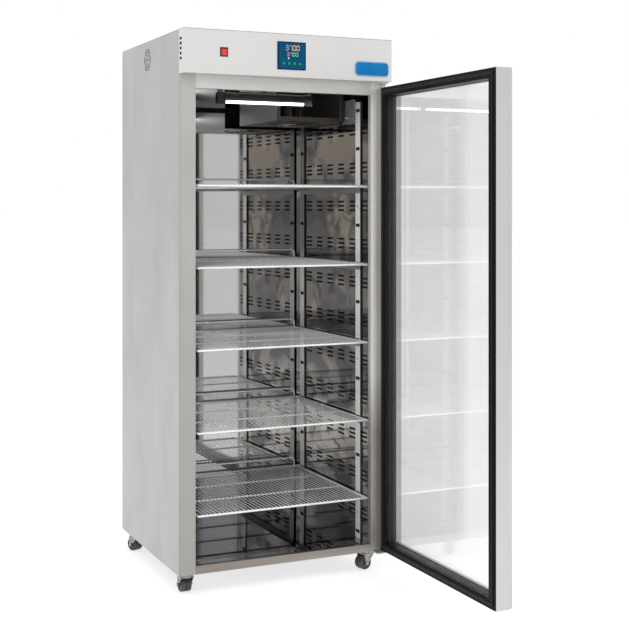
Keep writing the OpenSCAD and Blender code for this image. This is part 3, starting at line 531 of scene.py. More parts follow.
M_HEATER = polished("heater_sheath", (104, 92, 80), 0.3, (70, 60, 52), wave=0.02)
M_WINDOW = control_window()
M_ORANGE = lit("digit_orange", (236, 158, 52), 0.5, (214, 138, 48))
M_GREEN = lit("digit_green", (110, 210, 90), 0.5, (90, 190, 70))
M_DIM = lit("digit_dim", (178, 162, 152), 0.22, (150, 138, 132))
M_DOT = lit("lamp_lens", (236, 220, 214), 0.3, (220, 170, 160))
M_ROCKER = rocker_red()
M_LAMP = lamp_white()
M_FOAM = foam()
M_RUBBER = gasket_rubber()
M_GLASS = door_glass()


# CAD nodes and their finishes

SIDES = ("left", "right")
CORNERS = ("front_left", "front_right", "rear_left", "rear_right")
SHELVES_UPWARDS = (5, 4, 3, 2, 1)
KEYS = (1, 2, 3, 4)


def each(stem, endings):
    """Names of like nodes, such as key_1 to key_4."""
    return tuple(f"{stem}_{ending}" for ending in endings)


FINISH = {
    M_SIDE: each("side_panel", SIDES),
    M_BACK: ("back_panel", "base_panel", "top_cover"),
    M_HEADER: ("header_fascia",),
    # The two posts are lit and shaded copies of one steel; the hinge brackets take the right post's
    # painted light
    M_POST_LEFT: ("front_post_left",),
    M_POST_RIGHT: ("front_post_right", *each("hinge_bracket", ("top", "bottom"))),
    M_HEAD: ("head_rail",),
    M_SILL: ("sill",),
    M_FOAM: ("insulation",),
    M_LINER: ("liner",),
    M_HOUSING: ("fan_housing",),
    M_PROBE: ("temperature_probe",),
    M_DUCT: each("duct_panel", SIDES),
    M_UPRIGHT: each("uprights", SIDES),
    M_RUNNER: each("runners", SIDES),
    M_CHROME: each("shelf", SHELVES_UPWARDS),
    M_MOTOR: ("fan_motor", "fan_impeller"),
    M_HEATER: ("heater_element",),
    M_DARK: ("lamp_batten", "mains_inlet"),
    M_LAMP: ("lamp_tube",),
    M_BLUE: ("controller",),
    M_WINDOW: ("controller_window",),
    M_KEY: each("key", KEYS),
    M_SWITCH: ("switch_housing",),
    M_ROCKER: ("rocker",),
    M_DOOR: each("door_stile", ("hinge", "lead")),
    M_RAIL: each("door_rail", ("top", "bottom")),
    M_TRIM: ("door_trim",),
    M_SPACER: ("glass_spacer",),
    M_RUBBER: ("door_gasket",),
    M_BEAD: ("glazing_bead",),
    M_GLASS: ("glass_panes",),
    M_BUSH: ("hinge_bushes",),
    M_ZINC: ("caster_plates", *each("fork", CORNERS)),
    M_TREAD: each("roller", CORNERS),
}
for material, names in FINISH.items():
    for name in names:
        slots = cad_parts[name].data.materials
        slots.clear()
        slots.append(material)


# Drawing of meshes

LEFTWARD, RIGHTWARD = (-1, 0, 0), (1, 0, 0)
FORWARD, BACKWARD = (0, -1, 0), (0, 1, 0)
DOWN, UP = (0, 0, -1), (0, 0, 1)
SQUARE = ((-1, -1), (1, -1), (1, 1), (-1, 1))

# The rounded ends of a wire, as shares of its radius
DOME_LENGTH, DOME_R = 0.6, 0.55
# Screw and bolt heads: (share of the radius, share of the rise)
PAN_HEAD = ((1, 0), (1, 0.35), (0.86, 0.75), (0.5, 0.97), (0.1, 1))
HEX_HEAD = ((1, 0), (1, 0.8), (0.86, 1), (0.3, 1))
# The cross recess is drawn as a thin dark cross on the head: painted shade, not a hollow
CROSS_REACH, CROSS_HALF, CROSS_LEVEL, CROSS_RISE = 0.5, 0.11, 0.99, 0.06
PAN_SIDES = 14
RECESS_SHADE_SLOT = 1
EDGE_PROFILE, SHARP_ANGLE = 0.6, 38.0

# The door's inner plane, hinge edge, lower end and size
hinge_low, hinge_high = box("door_stile_hinge")
DOOR_INNER_X, DOOR_EDGE_Y, DOOR_Z = hinge_low[0], hinge_high[1], hinge_low[2]
DOOR_W = DOOR_EDGE_Y - box("door_stile_lead")[0][1]
DOOR_H = hinge_high[2] - DOOR_Z


def in_cabinet(x, y, z):
    """A point of the cabinet, as it is."""
    return (x, y, z)


def on_door(u, v, w):
    """A point of the door: from its hinge edge, outwards from its inner plane, up."""
    return (DOOR_INNER_X + v, DOOR_EDGE_Y - u, DOOR_Z + w)


def arc(cx, cy, r, start, end, steps):
    """Points on an arc, its angles in degrees."""
    turn = [math.radians(start + (end - start) * i / steps) for i in range(steps + 1)]
    return [(cx + r * math.cos(a), cy + r * math.sin(a)) for a in turn]


def circle(r, steps):
    """Points on a whole circle about the origin."""
    return arc(0, 0, r, 0, 360, steps)[:-1]


def rounded(w, h, r, steps=5):
    """A rectangle about the origin with round corners."""
    x, y = w / 2 - r, h / 2 - r
    return (
        arc(x, y, r, 0, 90, steps)
        + arc(-x, y, r, 90, 180, steps)
        + arc(-x, -y, r, 180, 270, steps)
        + arc(x, -y, r, 270, 360, steps)
    )


class Form:
    """A mesh drawn in millimetres, in the cabinet's axes or in those that place() turns to them."""

    def __init__(self, place=in_cabinet):
        self.bm = bmesh.new()
        self.place = place
        self.slot = 0

    def ring(self, points):
        return [self.bm.verts.new(at(*self.place(*p))) for p in points]

    def hoop(self, centre, ex, ey, r, sides):
        """A round ring of vertices in the plane of two axes."""
        turn = (math.tau * k / sides for k in range(sides))
        return self.ring(centre + (ex * math.cos(a) + ey * math.sin(a)) * r for a in turn)

    def face(self, verts):
        made = self.bm.faces.new(verts)
        made.material_index = self.slot
        return made

    def skin(self, rings, loop=False, caps=True):
        """Joins equal rings of vertices into a surface."""
        n = len(rings[0])
        pairs = list(zip(rings, rings[1:])) + ([(rings[-1], rings[0])] if loop else [])
        for a, b in pairs:
            for i in range(n):
                j = (i + 1) % n
                self.face((a[i], a[j], b[j], b[i]))
        if caps and not loop:
            self.face(list(reversed(rings[0])))
            self.face(rings[-1])
        return self

    def tube(self, points, r, sides=10, loop=False):
        """A round wire along points, its ends softly rounded."""
        path = [Vector(p) for p in points]
        radii = [r] * len(path)
        if not loop:
            head = (path[1] - path[0]).normalized() * r * DOME_LENGTH
            tail = (path[-2] - path[-1]).normalized() * r * DOME_LENGTH
            path = [path[0], path[0] + head, *path[1:-1], path[-1] + tail, path[-1]]
            radii = [r * DOME_R] + [r] * (len(path) - 2) + [r * DOME_R]
        n = len(path)
        across = None
        rings = []
        for i, p in enumerate(path):
            before = path[i - 1] if (i or loop) else p
            after = path[(i + 1) % n] if (i + 1 < n or loop) else p
            t = (after - before).normalized()
            start = across or (Vector(UP) if abs(t.z) < 0.9 else Vector(RIGHTWARD))
            across = (start - t * start.dot(t)).normalized()
            rings.append(self.hoop(p, across, t.cross(across), radii[i], sides))
        return self.skin(rings, loop)

    def block(self, low, high, r=0.0, steps=2):
        """A box, its edges softened by r."""
        made = bmesh.ops.create_cube(self.bm, size=1.0)["verts"]
        for v in made:
            corner = [low[i] if v.co[i] < 0 else high[i] for i in range(3)]
            v.co = at(*self.place(*corner))
        edges = {e for v in made for e in v.link_edges}
        for f in {f for v in made for f in v.link_faces}:
            f.material_index = self.slot
        if r:
            bmesh.ops.bevel(
                self.bm, geom=list(edges), offset=r * MM, segments=steps, profile=EDGE_PROFILE,
                affect="EDGES", material=-1,
            )
        return self

    def side_block(self, side, low, high, r=0.0, steps=2):
        """A box on the right, where side is 1, or its mirror image on the left, where it is -1."""
        near, far = sorted((side * low[0], side * high[0]))
        return self.block((near, *low[1:]), (far, *high[1:]), r, steps)

    def front_rings(self, centre, outlines):
        """Rings that face the front: outlines holds (points in x and z, lift forwards)."""
        cx, cy, cz = centre
        return [self.ring((cx + x, cy - lift, cz + z) for x, z in pts) for pts, lift in outlines]

    def plate(self, centre, w, h, r, depth, edge, steps, least_r=0.0):
        """A rounded plate that faces the front, its rim softened over edge."""
        levels = (
            (0, 0),
            (0, depth - edge),
            (edge * 0.35, depth - edge * 0.3),
            (edge, depth),
        )
        outlines = [
            (rounded(w - 2 * inset, h - 2 * inset, max(r - inset, least_r), steps), lift)
            for inset, lift in levels
        ]
        return self.skin(self.front_rings(centre, outlines))

    def moulding(self, centre, section, steps=5):
        """A rounded frame on a front face: section holds (width, height, radius, lift)."""
        outlines = [(rounded(w, h, r, steps), lift) for w, h, r, lift in section]
        return self.skin(self.front_rings(centre, outlines), caps=False)

    def lathe(self, centre, axis, profile, sides=24):
        """A turned form: profile holds (radius, distance along the axis)."""
        c, ez = Vector(centre), Vector(axis).normalized()
        ex = ez.orthogonal().normalized()
        ey = ez.cross(ex)
        return self.skin([self.hoop(c + ez * h, ex, ey, r, sides) for r, h in profile])

    def head(self, centre, axis, r, rise, shares, sides):
        """A screw's or bolt's head, drawn as shares of its radius and rise."""
        profile = [(r * wide, rise * level) for wide, level in shares]
        return self.lathe(centre, axis, profile, sides)

    def screw(self, centre, axis, r, rise):
        """A pan head screw; its cross recess is a thin dark cross of painted shade (second material
        slot).
        """
        self.head(centre, axis, r, rise, PAN_HEAD, PAN_SIDES)
        keep, self.slot = self.slot, RECESS_SHADE_SLOT
        c, ez = Vector(centre), Vector(axis).normalized()
        ex = ez.orthogonal().normalized()
        level = c + ez * (rise * CROSS_LEVEL)
        for ahead in (ex, ez.cross(ex)):
            reach = ahead * r * CROSS_REACH
            half = ez.cross(ahead) * r * CROSS_HALF
            corners = [level + reach * a + half * b for a, b in SQUARE]
            self.skin([self.ring(corners), self.ring(p + ez * CROSS_RISE for p in corners)])
        self.slot = keep
        return self

    def nut(self, centre, axis, r, rise):
        """A hexagon head with a chamfered top."""
        return self.head(centre, axis, r, rise, HEX_HEAD, 6)

    def sweep(self, section):
        """A closed strip round the door, mitred: section holds (inset, depth)."""
        rings = [
            self.ring((u, v, u) for u, v in section),
            self.ring((DOOR_W - u, v, u) for u, v in section),
            self.ring((DOOR_W - u, v, DOOR_H - u) for u, v in section),
            self.ring((u, v, DOOR_H - u) for u, v in section),
        ]
        return self.skin(rings, loop=True)

    def piece(self, name, body, materials, stands_for=(), sharp=SHARP_ANGLE):
        """Makes the mesh a piece that rides on a body, in place of the nodes it stands for."""
        bmesh.ops.recalc_face_normals(self.bm, faces=self.bm.faces)
        mesh = bpy.data.meshes.new(name)
        self.bm.to_mesh(mesh)
        self.bm.free()
        mesh.polygons.foreach_set("use_smooth", [True] * len(mesh.polygons))
        mesh.set_sharp_from_angle(angle=math.radians(sharp))
        for material in materials:
            mesh.materials.append(material)
        made = put(name, mesh)
        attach(made, body)
        if stands_for:
            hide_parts(*stands_for)
        return made


# Shelves

BAR_R, MID_R, WIRE_R = 4.0, 3.0, 1.6
SIDE_BAR_GAP = 2.0
MID_LIFT, WIRE_LIFT, WIRE_OVERHANG = 1.0, 4.9, 2.4
WIRE_PITCH, WIRE_COUNT = 15.0, 20
GUARD_X, GUARD_BEND, GUARD_FOOT = 299.5, 14.0, 4.5
WELD_LIFT = 4.2
WELD_COLLAR = [(4.2, 0), (3.9, 0.9), (3.0, 2.4)]


def shelf_piece(number):
    """A wire shelf: border bars, middle bars, fine wires and a rear guard on weld collars."""
    low, high = box(f"shelf_{number}")
    half, z = high[0], low[2] + BAR_R
    front, back = low[1] + BAR_R, high[1] - BAR_R
    inner = half - BAR_R
    form = Form()
    for y in (front, back):
        form.tube([(-half, y, z), (half, y, z)], BAR_R, 16)
    for side in (-1, 1):
        ends = (front + SIDE_BAR_GAP, back - SIDE_BAR_GAP)
        form.tube([(side * inner, y, z) for y in ends], BAR_R, 16)
    for k in (1, 2):
        y = front + (back - front) * k / 3
        form.tube([(-inner, y, z + MID_LIFT), (inner, y, z + MID_LIFT)], MID_R, 12)
    for k in range(-WIRE_COUNT, WIRE_COUNT + 1):
        ends = (front - WIRE_OVERHANG, back + WIRE_OVERHANG)
        form.tube([(k * WIRE_PITCH, y, z + WIRE_LIFT) for y in ends], WIRE_R, 8)
    guard_y, guard_z = back - MID_R, high[2] - MID_R
    bend = arc(GUARD_BEND - GUARD_X, guard_z - GUARD_BEND, GUARD_BEND, 180, 90, 7)
    left = [(-GUARD_X, guard_y, z + GUARD_FOOT)] + [(x, guard_y, above) for x, above in bend]
    right = [(-x, y, above) for x, y, above in reversed(left)]
    form.tube(left + right, MID_R, 12)
    for side in (-1, 1):
        form.lathe((side * GUARD_X, guard_y, z + WELD_LIFT), UP, WELD_COLLAR, 12)
    name = f"shelf_{number}"
    form.piece(f"shelf_wire_{number}", name, [M_CHROME], [name])


for number in SHELVES_UPWARDS:
    shelf_piece(number)


# Painted shade: dark sheets behind the uprights' holes, the louvres and the return air slot

SHEET_EDGE = 0.2
UPRIGHT_HALF = 20.0
upright_low, upright_high = box("uprights_right")
UPRIGHT_X = upright_low[0]
UPRIGHT_Y = (upright_low[1] + UPRIGHT_HALF, upright_high[1] - UPRIGHT_HALF)
HOLES_X, HOLES_HALF, HOLES_Z = (325.7, 326.3), 18.0, (106.0, 1697.0)
LOUVRES_X, LOUVRES_Y, LOUVRES_Z = (331.0, 331.6), (24.5, 659.5), (104.0, 1745.5)
CHAMBER_BACK = 662.0
SLOT_X, SLOT_Z = 299.5, (1684.0, 1704.0)
SLOT_DEPTH, SLOT_SHEET = 18.0, 1.5
LIP, LIP_GAP = 1.2, 0.4

shade_sheets = Form()
for side in (-1, 1):
    for y in UPRIGHT_Y:
        low = (HOLES_X[0], y - HOLES_HALF, HOLES_Z[0])
        high = (HOLES_X[1], y + HOLES_HALF, HOLES_Z[1])
        shade_sheets.side_block(side, low, high, SHEET_EDGE, 1)
    low, high = zip(LOUVRES_X, LOUVRES_Y, LOUVRES_Z)
    shade_sheets.side_block(side, low, high, SHEET_EDGE, 1)
slot_end = CHAMBER_BACK + SLOT_DEPTH
low, high = (-SLOT_X, slot_end, SLOT_Z[0]), (SLOT_X, slot_end + SLOT_SHEET, SLOT_Z[1])
shade_sheets.block(low, high, SHEET_EDGE, 1)
for z in (SLOT_Z[0] + LIP_GAP, SLOT_Z[1] - LIP_GAP - LIP):
    shade_sheets.block((-SLOT_X, CHAMBER_BACK + LIP, z), (SLOT_X, slot_end, z + LIP), SHEET_EDGE, 1)
shade_sheets.piece("painted_shade_sheets", "cabinet", [M_PAINTED_SHADE])


# Screws inside the chamber

UPRIGHT_SCREW_Z = (197.0, 757.0, 1317.0, 1663.0)
PROBE_PLATE_X, PROBE_SCREW_INSET = 323.5, 7.0
HOUSING_SCREW_X, HOUSING_SCREW_Z = (60.0, 302.0), (1640.0, 1737.0)

fixings = Form()
for side in (-1, 1):
    for y in UPRIGHT_Y:
        for z in UPRIGHT_SCREW_Z:
            fixings.screw((side * UPRIGHT_X, y, z), (-side, 0, 0), 3.2, 1.1)
probe_low, probe_high = box("temperature_probe")
for y in (probe_low[1] + PROBE_SCREW_INSET, probe_high[1] - PROBE_SCREW_INSET):
    for z in (probe_low[2] + PROBE_SCREW_INSET, probe_high[2] - PROBE_SCREW_INSET):
        fixings.screw((PROBE_PLATE_X, y, z), LEFTWARD, 3.0, 1.0)
fixings.piece("chamber_screws", "cabinet", [M_SCREW, M_SWITCH])

housing_fixings = Form()
housing_front = box("fan_housing")[0][1]
for x in HOUSING_SCREW_X:
    for z in HOUSING_SCREW_Z:
        housing_fixings.screw((x, housing_front, z), FORWARD, 3.0, 1.0)
housing_fixings.piece("housing_screws", "cabinet", [M_HOUSING, M_SWITCH])


# Fan grille

GRILLE_HOOPS = (18.0, 38.0, 58.0, 78.0)
GRILLE_WIRE_R, SPOKE_REACH = 1.2, 84.0
HOOP_Z, SPOKE_Z = 1626.6, 1628.0
fan_x, fan_y, _ = middle("heater_element")

grille = Form()
for r in GRILLE_HOOPS:
    hoop = [(fan_x + x, fan_y + y, HOOP_Z) for x, y in circle(r, 40)]
    grille.tube(hoop, GRILLE_WIRE_R, 6, loop=True)
for turn in range(0, 180, 45):
    dx = SPOKE_REACH * math.cos(math.radians(turn))
    dy = SPOKE_REACH * math.sin(math.radians(turn))
    spoke = [(fan_x + end * dx, fan_y + end * dy, SPOKE_Z) for end in (-1, 1)]
    grille.tube(spoke, GRILLE_WIRE_R, 6)
grille.piece("fan_grille", "cabinet", [M_SCREW])


# Strips that close the gap between the front frame and the lining

STRIP_X, STRIP_Y = 328.9, (21.2, 22.2)
STRIPS_Z = ((1717.8, 1746.6), (78.4, 101.2))

closing = Form()
for z0, z1 in STRIPS_Z:
    closing.block((-STRIP_X, STRIP_Y[0], z0), (STRIP_X, STRIP_Y[1], z1), SHEET_EDGE, 1)
closing.piece("frame_closing_strips", "cabinet", [M_HEAD])


# Ceiling lamp: end caps with lamp holders, a hood over the tube, and three hangers

tube_low, tube_high = box("lamp_tube")
LAMP_X, LAMP_Y, LAMP_Z = middle("lamp_tube")
LAMP_HALF = (tube_high[0] - tube_low[0]) / 2
batten_low, batten_high = box("lamp_batten")
CEILING = batten_high[2]
CAP_LENGTH, CAP_TOP, CAP_EDGE = 28.0, 1722.0, 2.5
HOLDER_GAP = 1.0
HOLDER = [(9.6, 0), (9.6, 5), (8.4, 6)]
HOOD_FLAT, HOOD_MOUTH, HOOD_CROWN = 3.0, 1693.0, 1717.5
HOOD_R, HOOD_SHEET, HOOD_GAP = 8.0, 1.2, 0.3
HANGER_Y, HANGER_HALF, HANGER_FOOT = (178.0, 190.0), 9.0, 1720.0


def beside_lamp(x, y, z):
    """A point drawn from the lamp's middle."""
    return (x + LAMP_X, y, z)


def hood_side(r):
    """The hood's section from its left foot over the top, with corners of that radius."""
    left = [(-HOOD_FLAT - r, HOOD_MOUTH)] + arc(-HOOD_FLAT, HOOD_CROWN, r, 180, 90, 5)
    right = arc(HOOD_FLAT, HOOD_CROWN, r, 90, 0, 5) + [(HOOD_FLAT + r, HOOD_MOUTH)]
    return left + right


lamp_form = Form(beside_lamp)
for slot, side in enumerate((-1, 1)):
    lamp_form.slot = slot
    low = (LAMP_HALF, batten_low[1], batten_low[2])
    high = (LAMP_HALF + CAP_LENGTH, batten_high[1], CAP_TOP)
    lamp_form.side_block(side, low, high, CAP_EDGE, 3)
    holder_at = (side * (LAMP_HALF + HOLDER_GAP), LAMP_Y, LAMP_Z)
    lamp_form.lathe(holder_at, (-side, 0, 0), HOLDER, 20)
hood = [(LAMP_Y + y, z) for y, z in hood_side(HOOD_R) + hood_side(HOOD_R - HOOD_SHEET)[::-1]]
hood_ends = (-LAMP_HALF + HOOD_GAP, LAMP_HALF - HOOD_GAP)
lamp_form.skin([lamp_form.ring((x, y, z) for y, z in hood) for x in hood_ends])
for x in (-LAMP_HALF - CAP_LENGTH / 2, 0, LAMP_HALF + CAP_LENGTH / 2):
    low = (x - HANGER_HALF, HANGER_Y[0], HANGER_FOOT)
    high = (x + HANGER_HALF, HANGER_Y[1], CEILING)
    lamp_form.block(low, high, 1.0, 2)
lamp_form.piece("lamp_fitting", "cabinet", [M_DARK, M_REFLECTOR], ["lamp_batten"])


# Foam slabs, a little clear of the sheets round them

FOAM_INNER, FOAM_OUTER, FOAM_HALF = 340.8, 386.8, 340.1
FOAM_FRONT, FOAM_BACK = 22.2, 705.2
FOAM_BOTTOM, FOAM_TOP = 76.6, 1784.9
CHAMBER_END, SLOT_FOAM_Y, REAR_FOAM_Y = 661.2, (663.3, 682.4), 682.5
FLOOR_FOAM_TOP, CEILING_FOAM_BOTTOM = 101.8, 1748.2
SLOT_CLEARANCE = 0.5

foam_form = Form()
for side in (-1, 1):
    low, high = (FOAM_INNER, FOAM_FRONT, FOAM_BOTTOM), (FOAM_OUTER, FOAM_BACK, FOAM_TOP)
    foam_form.side_block(side, low, high, 4, 3)
for y0, y1, z0, z1, softness in (
    (FOAM_FRONT, CHAMBER_END, FOAM_BOTTOM, FLOOR_FOAM_TOP, 3),
    (FOAM_FRONT, CHAMBER_END, CEILING_FOAM_BOTTOM, FOAM_TOP, 4),
    (REAR_FOAM_Y, FOAM_BACK, FOAM_BOTTOM, FOAM_TOP, 4),
    (*SLOT_FOAM_Y, FOAM_BOTTOM, SLOT_Z[0] - SLOT_CLEARANCE, 3),
    (*SLOT_FOAM_Y, SLOT_Z[1] + SLOT_CLEARANCE, FOAM_TOP, 3),
):
    foam_form.block((-FOAM_HALF, y0, z0), (FOAM_HALF, y1, z1), softness, 3)
foam_form.piece("foam_slabs", "cabinet", [M_FOAM], ["insulation"])


# Door gasket and the ribs of the black trim

GASKET = [
    (11.2, -4.0), (11.0, -4.6), (11.4, -5.3), (12.4, -5.5), (12.7, -6.9), (13.5, -7.6),
    (15.6, -7.7), (16.2, -7.2), (18.8, -7.2), (19.4, -7.7), (21.5, -7.6), (22.3, -6.9),
    (22.6, -5.5), (23.6, -5.3), (24.0, -4.6), (23.8, -4.0),
]
RIB_INSETS, RIB_WIDTH = (4.6, 7.6, 27.0, 28.6), 0.9
RIB_FOOT, RIB_CREST = -3.9, -4.35

gasket_form = Form(on_door)
gasket_form.sweep(GASKET)
gasket_form.piece("gasket_bellows", "door", [M_RUBBER], ["door_gasket"], sharp=50)

trim_form = Form(on_door)
for inset in RIB_INSETS:
    outer = inset + RIB_WIDTH
    trim_form.sweep([(inset, RIB_FOOT), (inset, RIB_CREST), (outer, RIB_CREST), (outer, RIB_FOOT)])
trim_form.piece("trim_ribs", "door", [M_TRIM])


# Controller: rim, digits, indicator lamp and keys

panel_low, panel_high = box("controller")
PANEL_Y, PANEL_Z = panel_low[1], middle("controller")[2]
PANEL_W, PANEL_H = panel_high[0] - panel_low[0], panel_high[2] - panel_low[2]
WINDOW_Z = middle("controller_window")[2]
RIM_INNER_W, RIM_INNER_H, RIM_LIFT = 97.4, 89.4, 0.9
FACE_Y, BAR_LIFT = PANEL_Y - 0.05, 0.12
# The bars of a digit stop short of its corners by this share of their width
BAR_GAP = 0.6
DISPLAY_X = 2.0
READING = "3700"
SEGMENTS = {"0": "abcdef", "3": "abgcd", "7": "abc"}
LENS_AT = (-12.5, PANEL_Y, 1826.0)
LENS = [(2.6, 0), (2.6, 0.3), (2.2, 0.7), (1.0, 0.9)]
KEY_R, KEY_LEAST_R, KEY_EDGE = 1.6, 0.4, 0.7
KEY_MARK_LIFTS = (0.78, 0.86)
KEY_MARKS = {
    1: [(-1.9, -1.2), (1.9, -1.2), (0, 1.9)],
    2: [(-1.9, 1.2), (0, -1.9), (1.9, 1.2)],
    3: rounded(3.6, 3.6, 0.8, 3),
    4: rounded(3.6, 1.2, 0.5, 3),
}


def bar_on_window(form, low, high):
    """A flat bar of the display, from its low to its high corner in x and z."""
    form.block((low[0], FACE_Y - BAR_LIFT, low[1]), (high[0], FACE_Y, high[1]))


def digit(form, char, x, z, w, h, t):
    """One seven-bar digit on the controller's face, its middle at x, z and its bars t wide."""
    level = {"a": h / 2, "g": 0, "d": -h / 2}
    upright = {"f": (-w / 2, 1), "b": (w / 2, 1), "e": (-w / 2, -1), "c": (w / 2, -1)}
    gap = t * BAR_GAP
    for name in SEGMENTS[char]:
        if name in level:
            low = (x - w / 2 + gap, z + level[name] - t / 2)
            high = (x + w / 2 - gap, z + level[name] + t / 2)
        else:
            sx, s = upright[name]
            z0, z1 = sorted((z + s * gap, z + s * (h / 2 - gap)))
            low, high = (x + sx - t / 2, z0), (x + sx + t / 2, z1)
        bar_on_window(form, low, high)


def display_row(name, above, w, h, t, pitch, material):
    """Four digits, the left two dim and the right two lit, and a dim dot between them."""
    z = WINDOW_Z + above
    for part, first, finish in (("dim", 0, M_DIM), ("lit", 2, material)):
        row = Form()
        for k in (first, first + 1):
            digit(row, READING[k], DISPLAY_X + (k - 1.5) * pitch, z, w, h, t)
        if part == "dim":
            foot = z - h / 2 - t / 2
            bar_on_window(row, (DISPLAY_X - t / 2, foot), (DISPLAY_X + t / 2, foot + t))
        row.piece(f"digits_{name}_{part}", "cabinet", [finish])


def key_cap(number):
    """A green key with a plain raised mark: a triangle up or down, a square or a bar."""
    name = f"key_{number}"
    low, high = box(name)
    x, _, z = middle(name)
    w, depth = high[0] - low[0], high[1] - low[1]
    key = Form()
    key.plate((x, high[1], z), w, w, KEY_R, depth, KEY_EDGE, 4, KEY_LEAST_R)
    key.slot = 1
    outlines = [(KEY_MARKS[number], lift) for lift in KEY_MARK_LIFTS]
    key.skin(key.front_rings((x, PANEL_Y, z), outlines))
    key.piece(f"key_cap_{number}", name, [M_KEY, M_KEY_MARK], [name])


rim = Form()
rim.moulding(
    (0, PANEL_Y, PANEL_Z),
    [
        (PANEL_W, PANEL_H, 3.0, 0.0),
        (PANEL_W, PANEL_H, 3.0, 0.5),
        (PANEL_W - 1.2, PANEL_H - 1.2, 2.6, RIM_LIFT),
        (RIM_INNER_W, RIM_INNER_H, 2.0, RIM_LIFT),
        (RIM_INNER_W - 0.8, RIM_INNER_H - 0.8, 1.8, 0.5),
        (RIM_INNER_W - 0.8, RIM_INNER_H - 0.8, 1.8, 0.0),
    ],
)
rim.piece("controller_rim", "cabinet", [M_NAVY])

display_row("upper", 13.0, 10.0, 16.0, 2.5, 13.6, M_ORANGE)
display_row("lower", -9.3, 8.0, 11.5, 2.0, 11.0, M_GREEN)

lens = Form()
lens.lathe(LENS_AT, FORWARD, LENS, 16)
lens.piece("controller_lamp", "cabinet", [M_DOT])

for number in KEYS:
    key_cap(number)


# Plain badge plate with a pale line round it

BADGE_AT = (309.4, box("header_fascia")[0][1], 1803.5)
BADGE_W, BADGE_H, BADGE_R = 135.0, 53.0, 16.0
BADGE_DEPTH, BADGE_EDGE = 2.0, 1.1
LINE_INSET, LINE_WIDTH = 1.7, 1.5
LINE_FOOT, LINE_CREST = 2.02, 2.3
LINE_OUTER = (BADGE_W - 2 * LINE_INSET, BADGE_H - 2 * LINE_INSET, 14.4)
LINE_INNER = (LINE_OUTER[0] - 2 * LINE_WIDTH, LINE_OUTER[1] - 2 * LINE_WIDTH, 13.0)

badge = Form()
badge.plate(BADGE_AT, BADGE_W, BADGE_H, BADGE_R, BADGE_DEPTH, BADGE_EDGE, 8)
badge.slot = 1
badge.moulding(
    BADGE_AT,
    [
        (*LINE_OUTER, LINE_FOOT),
        (*LINE_OUTER, LINE_CREST),
        (*LINE_INNER, LINE_CREST),
        (*LINE_INNER, LINE_FOOT),
    ],
    8,
)
badge.piece("blank_badge", "cabinet", [M_BADGE, M_BADGE_RIM])


# Rocker marks: a bar and a ring, on its two faces

TILT = math.radians(7)
ROCKER_AT = (-246.0, -44.0, 1836.0)
FACE_MIDDLE, FACE_SLOPE = -8.5, 2.0 / 11.3
MARK_LIFTS = (-0.1, 0.12)
BAR_HALF, BAR_LOW, BAR_HIGH = 0.7, 3.6, 8.2
RING_Z, RING_OUTER, RING_INNER = -5.9, 2.9, 1.7


def on_rocker(x, y, z):
    """A point drawn on the upright rocker, turned to its rest position."""
    return (
        ROCKER_AT[0] + x,
        ROCKER_AT[1] + y * math.cos(TILT) - z * math.sin(TILT),
        ROCKER_AT[2] + y * math.sin(TILT) + z * math.cos(TILT),
    )


def rocker_mark(form, outline, lift):
    """A ring of vertices that high above the rocker's two sloping faces."""
    return form.ring((x, FACE_MIDDLE - FACE_SLOPE * abs(z) - lift, z) for x, z in outline)


marks = Form(on_rocker)
bar = [(-BAR_HALF, BAR_LOW), (BAR_HALF, BAR_LOW), (BAR_HALF, BAR_HIGH), (-BAR_HALF, BAR_HIGH)]
marks.skin([rocker_mark(marks, bar, lift) for lift in MARK_LIFTS])
rings = []
for r, lifts in ((RING_OUTER, MARK_LIFTS), (RING_INNER, MARK_LIFTS[::-1])):
    outline = [(x, RING_Z + z) for x, z in circle(r, 24)]
    rings += [rocker_mark(marks, outline, lift) for lift in lifts]
marks.skin(rings, caps=False)
marks.piece("rocker_marks", "power_rocker", [M_MARK])


# Painted shade: a dark disc behind the round vents

VENT_X, VENT_Y, VENT_Z = 387.4, 369.0, 1845.0
VENT_DISC = [(40.5, 0), (40.5, 0.85)]

vent_shade = Form()
for side in (-1, 1):
    vent_shade.lathe((side * VENT_X, VENT_Y, VENT_Z), (side, 0, 0), VENT_DISC, 40)
vent_shade.piece("vent_shade_disc", "cabinet", [M_PAINTED_SHADE])


# Screws of the back and top, and the mains inlet's pins

REAR_Y, TOP_Z = box("back_panel")[1][1], box("top_cover")[1][2]
SCREW_RISE = 0.5
REAR_COLUMN_X, REAR_ROW_X = 370.0, (-185.0, 0.0, 185.0)
REAR_LOWEST, REAR_HIGHEST, REAR_STEP = 92, 1892, 300
TOP_SCREW_X, TOP_SCREW_Y = 374.0, (120.0, 360.0, 600.0, -34.0)
EAR_INSET = 2.0
PIN_PLACES = ((-6.5, -3.5), (6.5, -3.5), (0, 3.5))
PIN_HALF_X, PIN_HALF_Z, PIN_Y = 1.0, 2.2, (689.2, 702.0)

rear = Form()
for x in (-REAR_COLUMN_X, REAR_COLUMN_X):
    for z in range(REAR_LOWEST, REAR_HIGHEST + 1, REAR_STEP):
        rear.screw((x, REAR_Y, z), BACKWARD, 4.0, SCREW_RISE)
for x in REAR_ROW_X:
    for z in (REAR_LOWEST, REAR_HIGHEST):
        rear.screw((x, REAR_Y, z), BACKWARD, 4.0, SCREW_RISE)
inlet_low, inlet_high = box("mains_inlet")
inlet_x, _, inlet_z = middle("mains_inlet")
for x in (inlet_low[0] + EAR_INSET, inlet_high[0] - EAR_INSET):
    rear.screw((x, REAR_Y, inlet_z), BACKWARD, 2.6, SCREW_RISE)
for side in (-1, 1):
    for y in TOP_SCREW_Y:
        rear.screw((side * TOP_SCREW_X, y, TOP_Z), UP, 3.6, SCREW_RISE)
rear.piece("cover_screws", "cabinet", [M_SCREW, M_SWITCH])

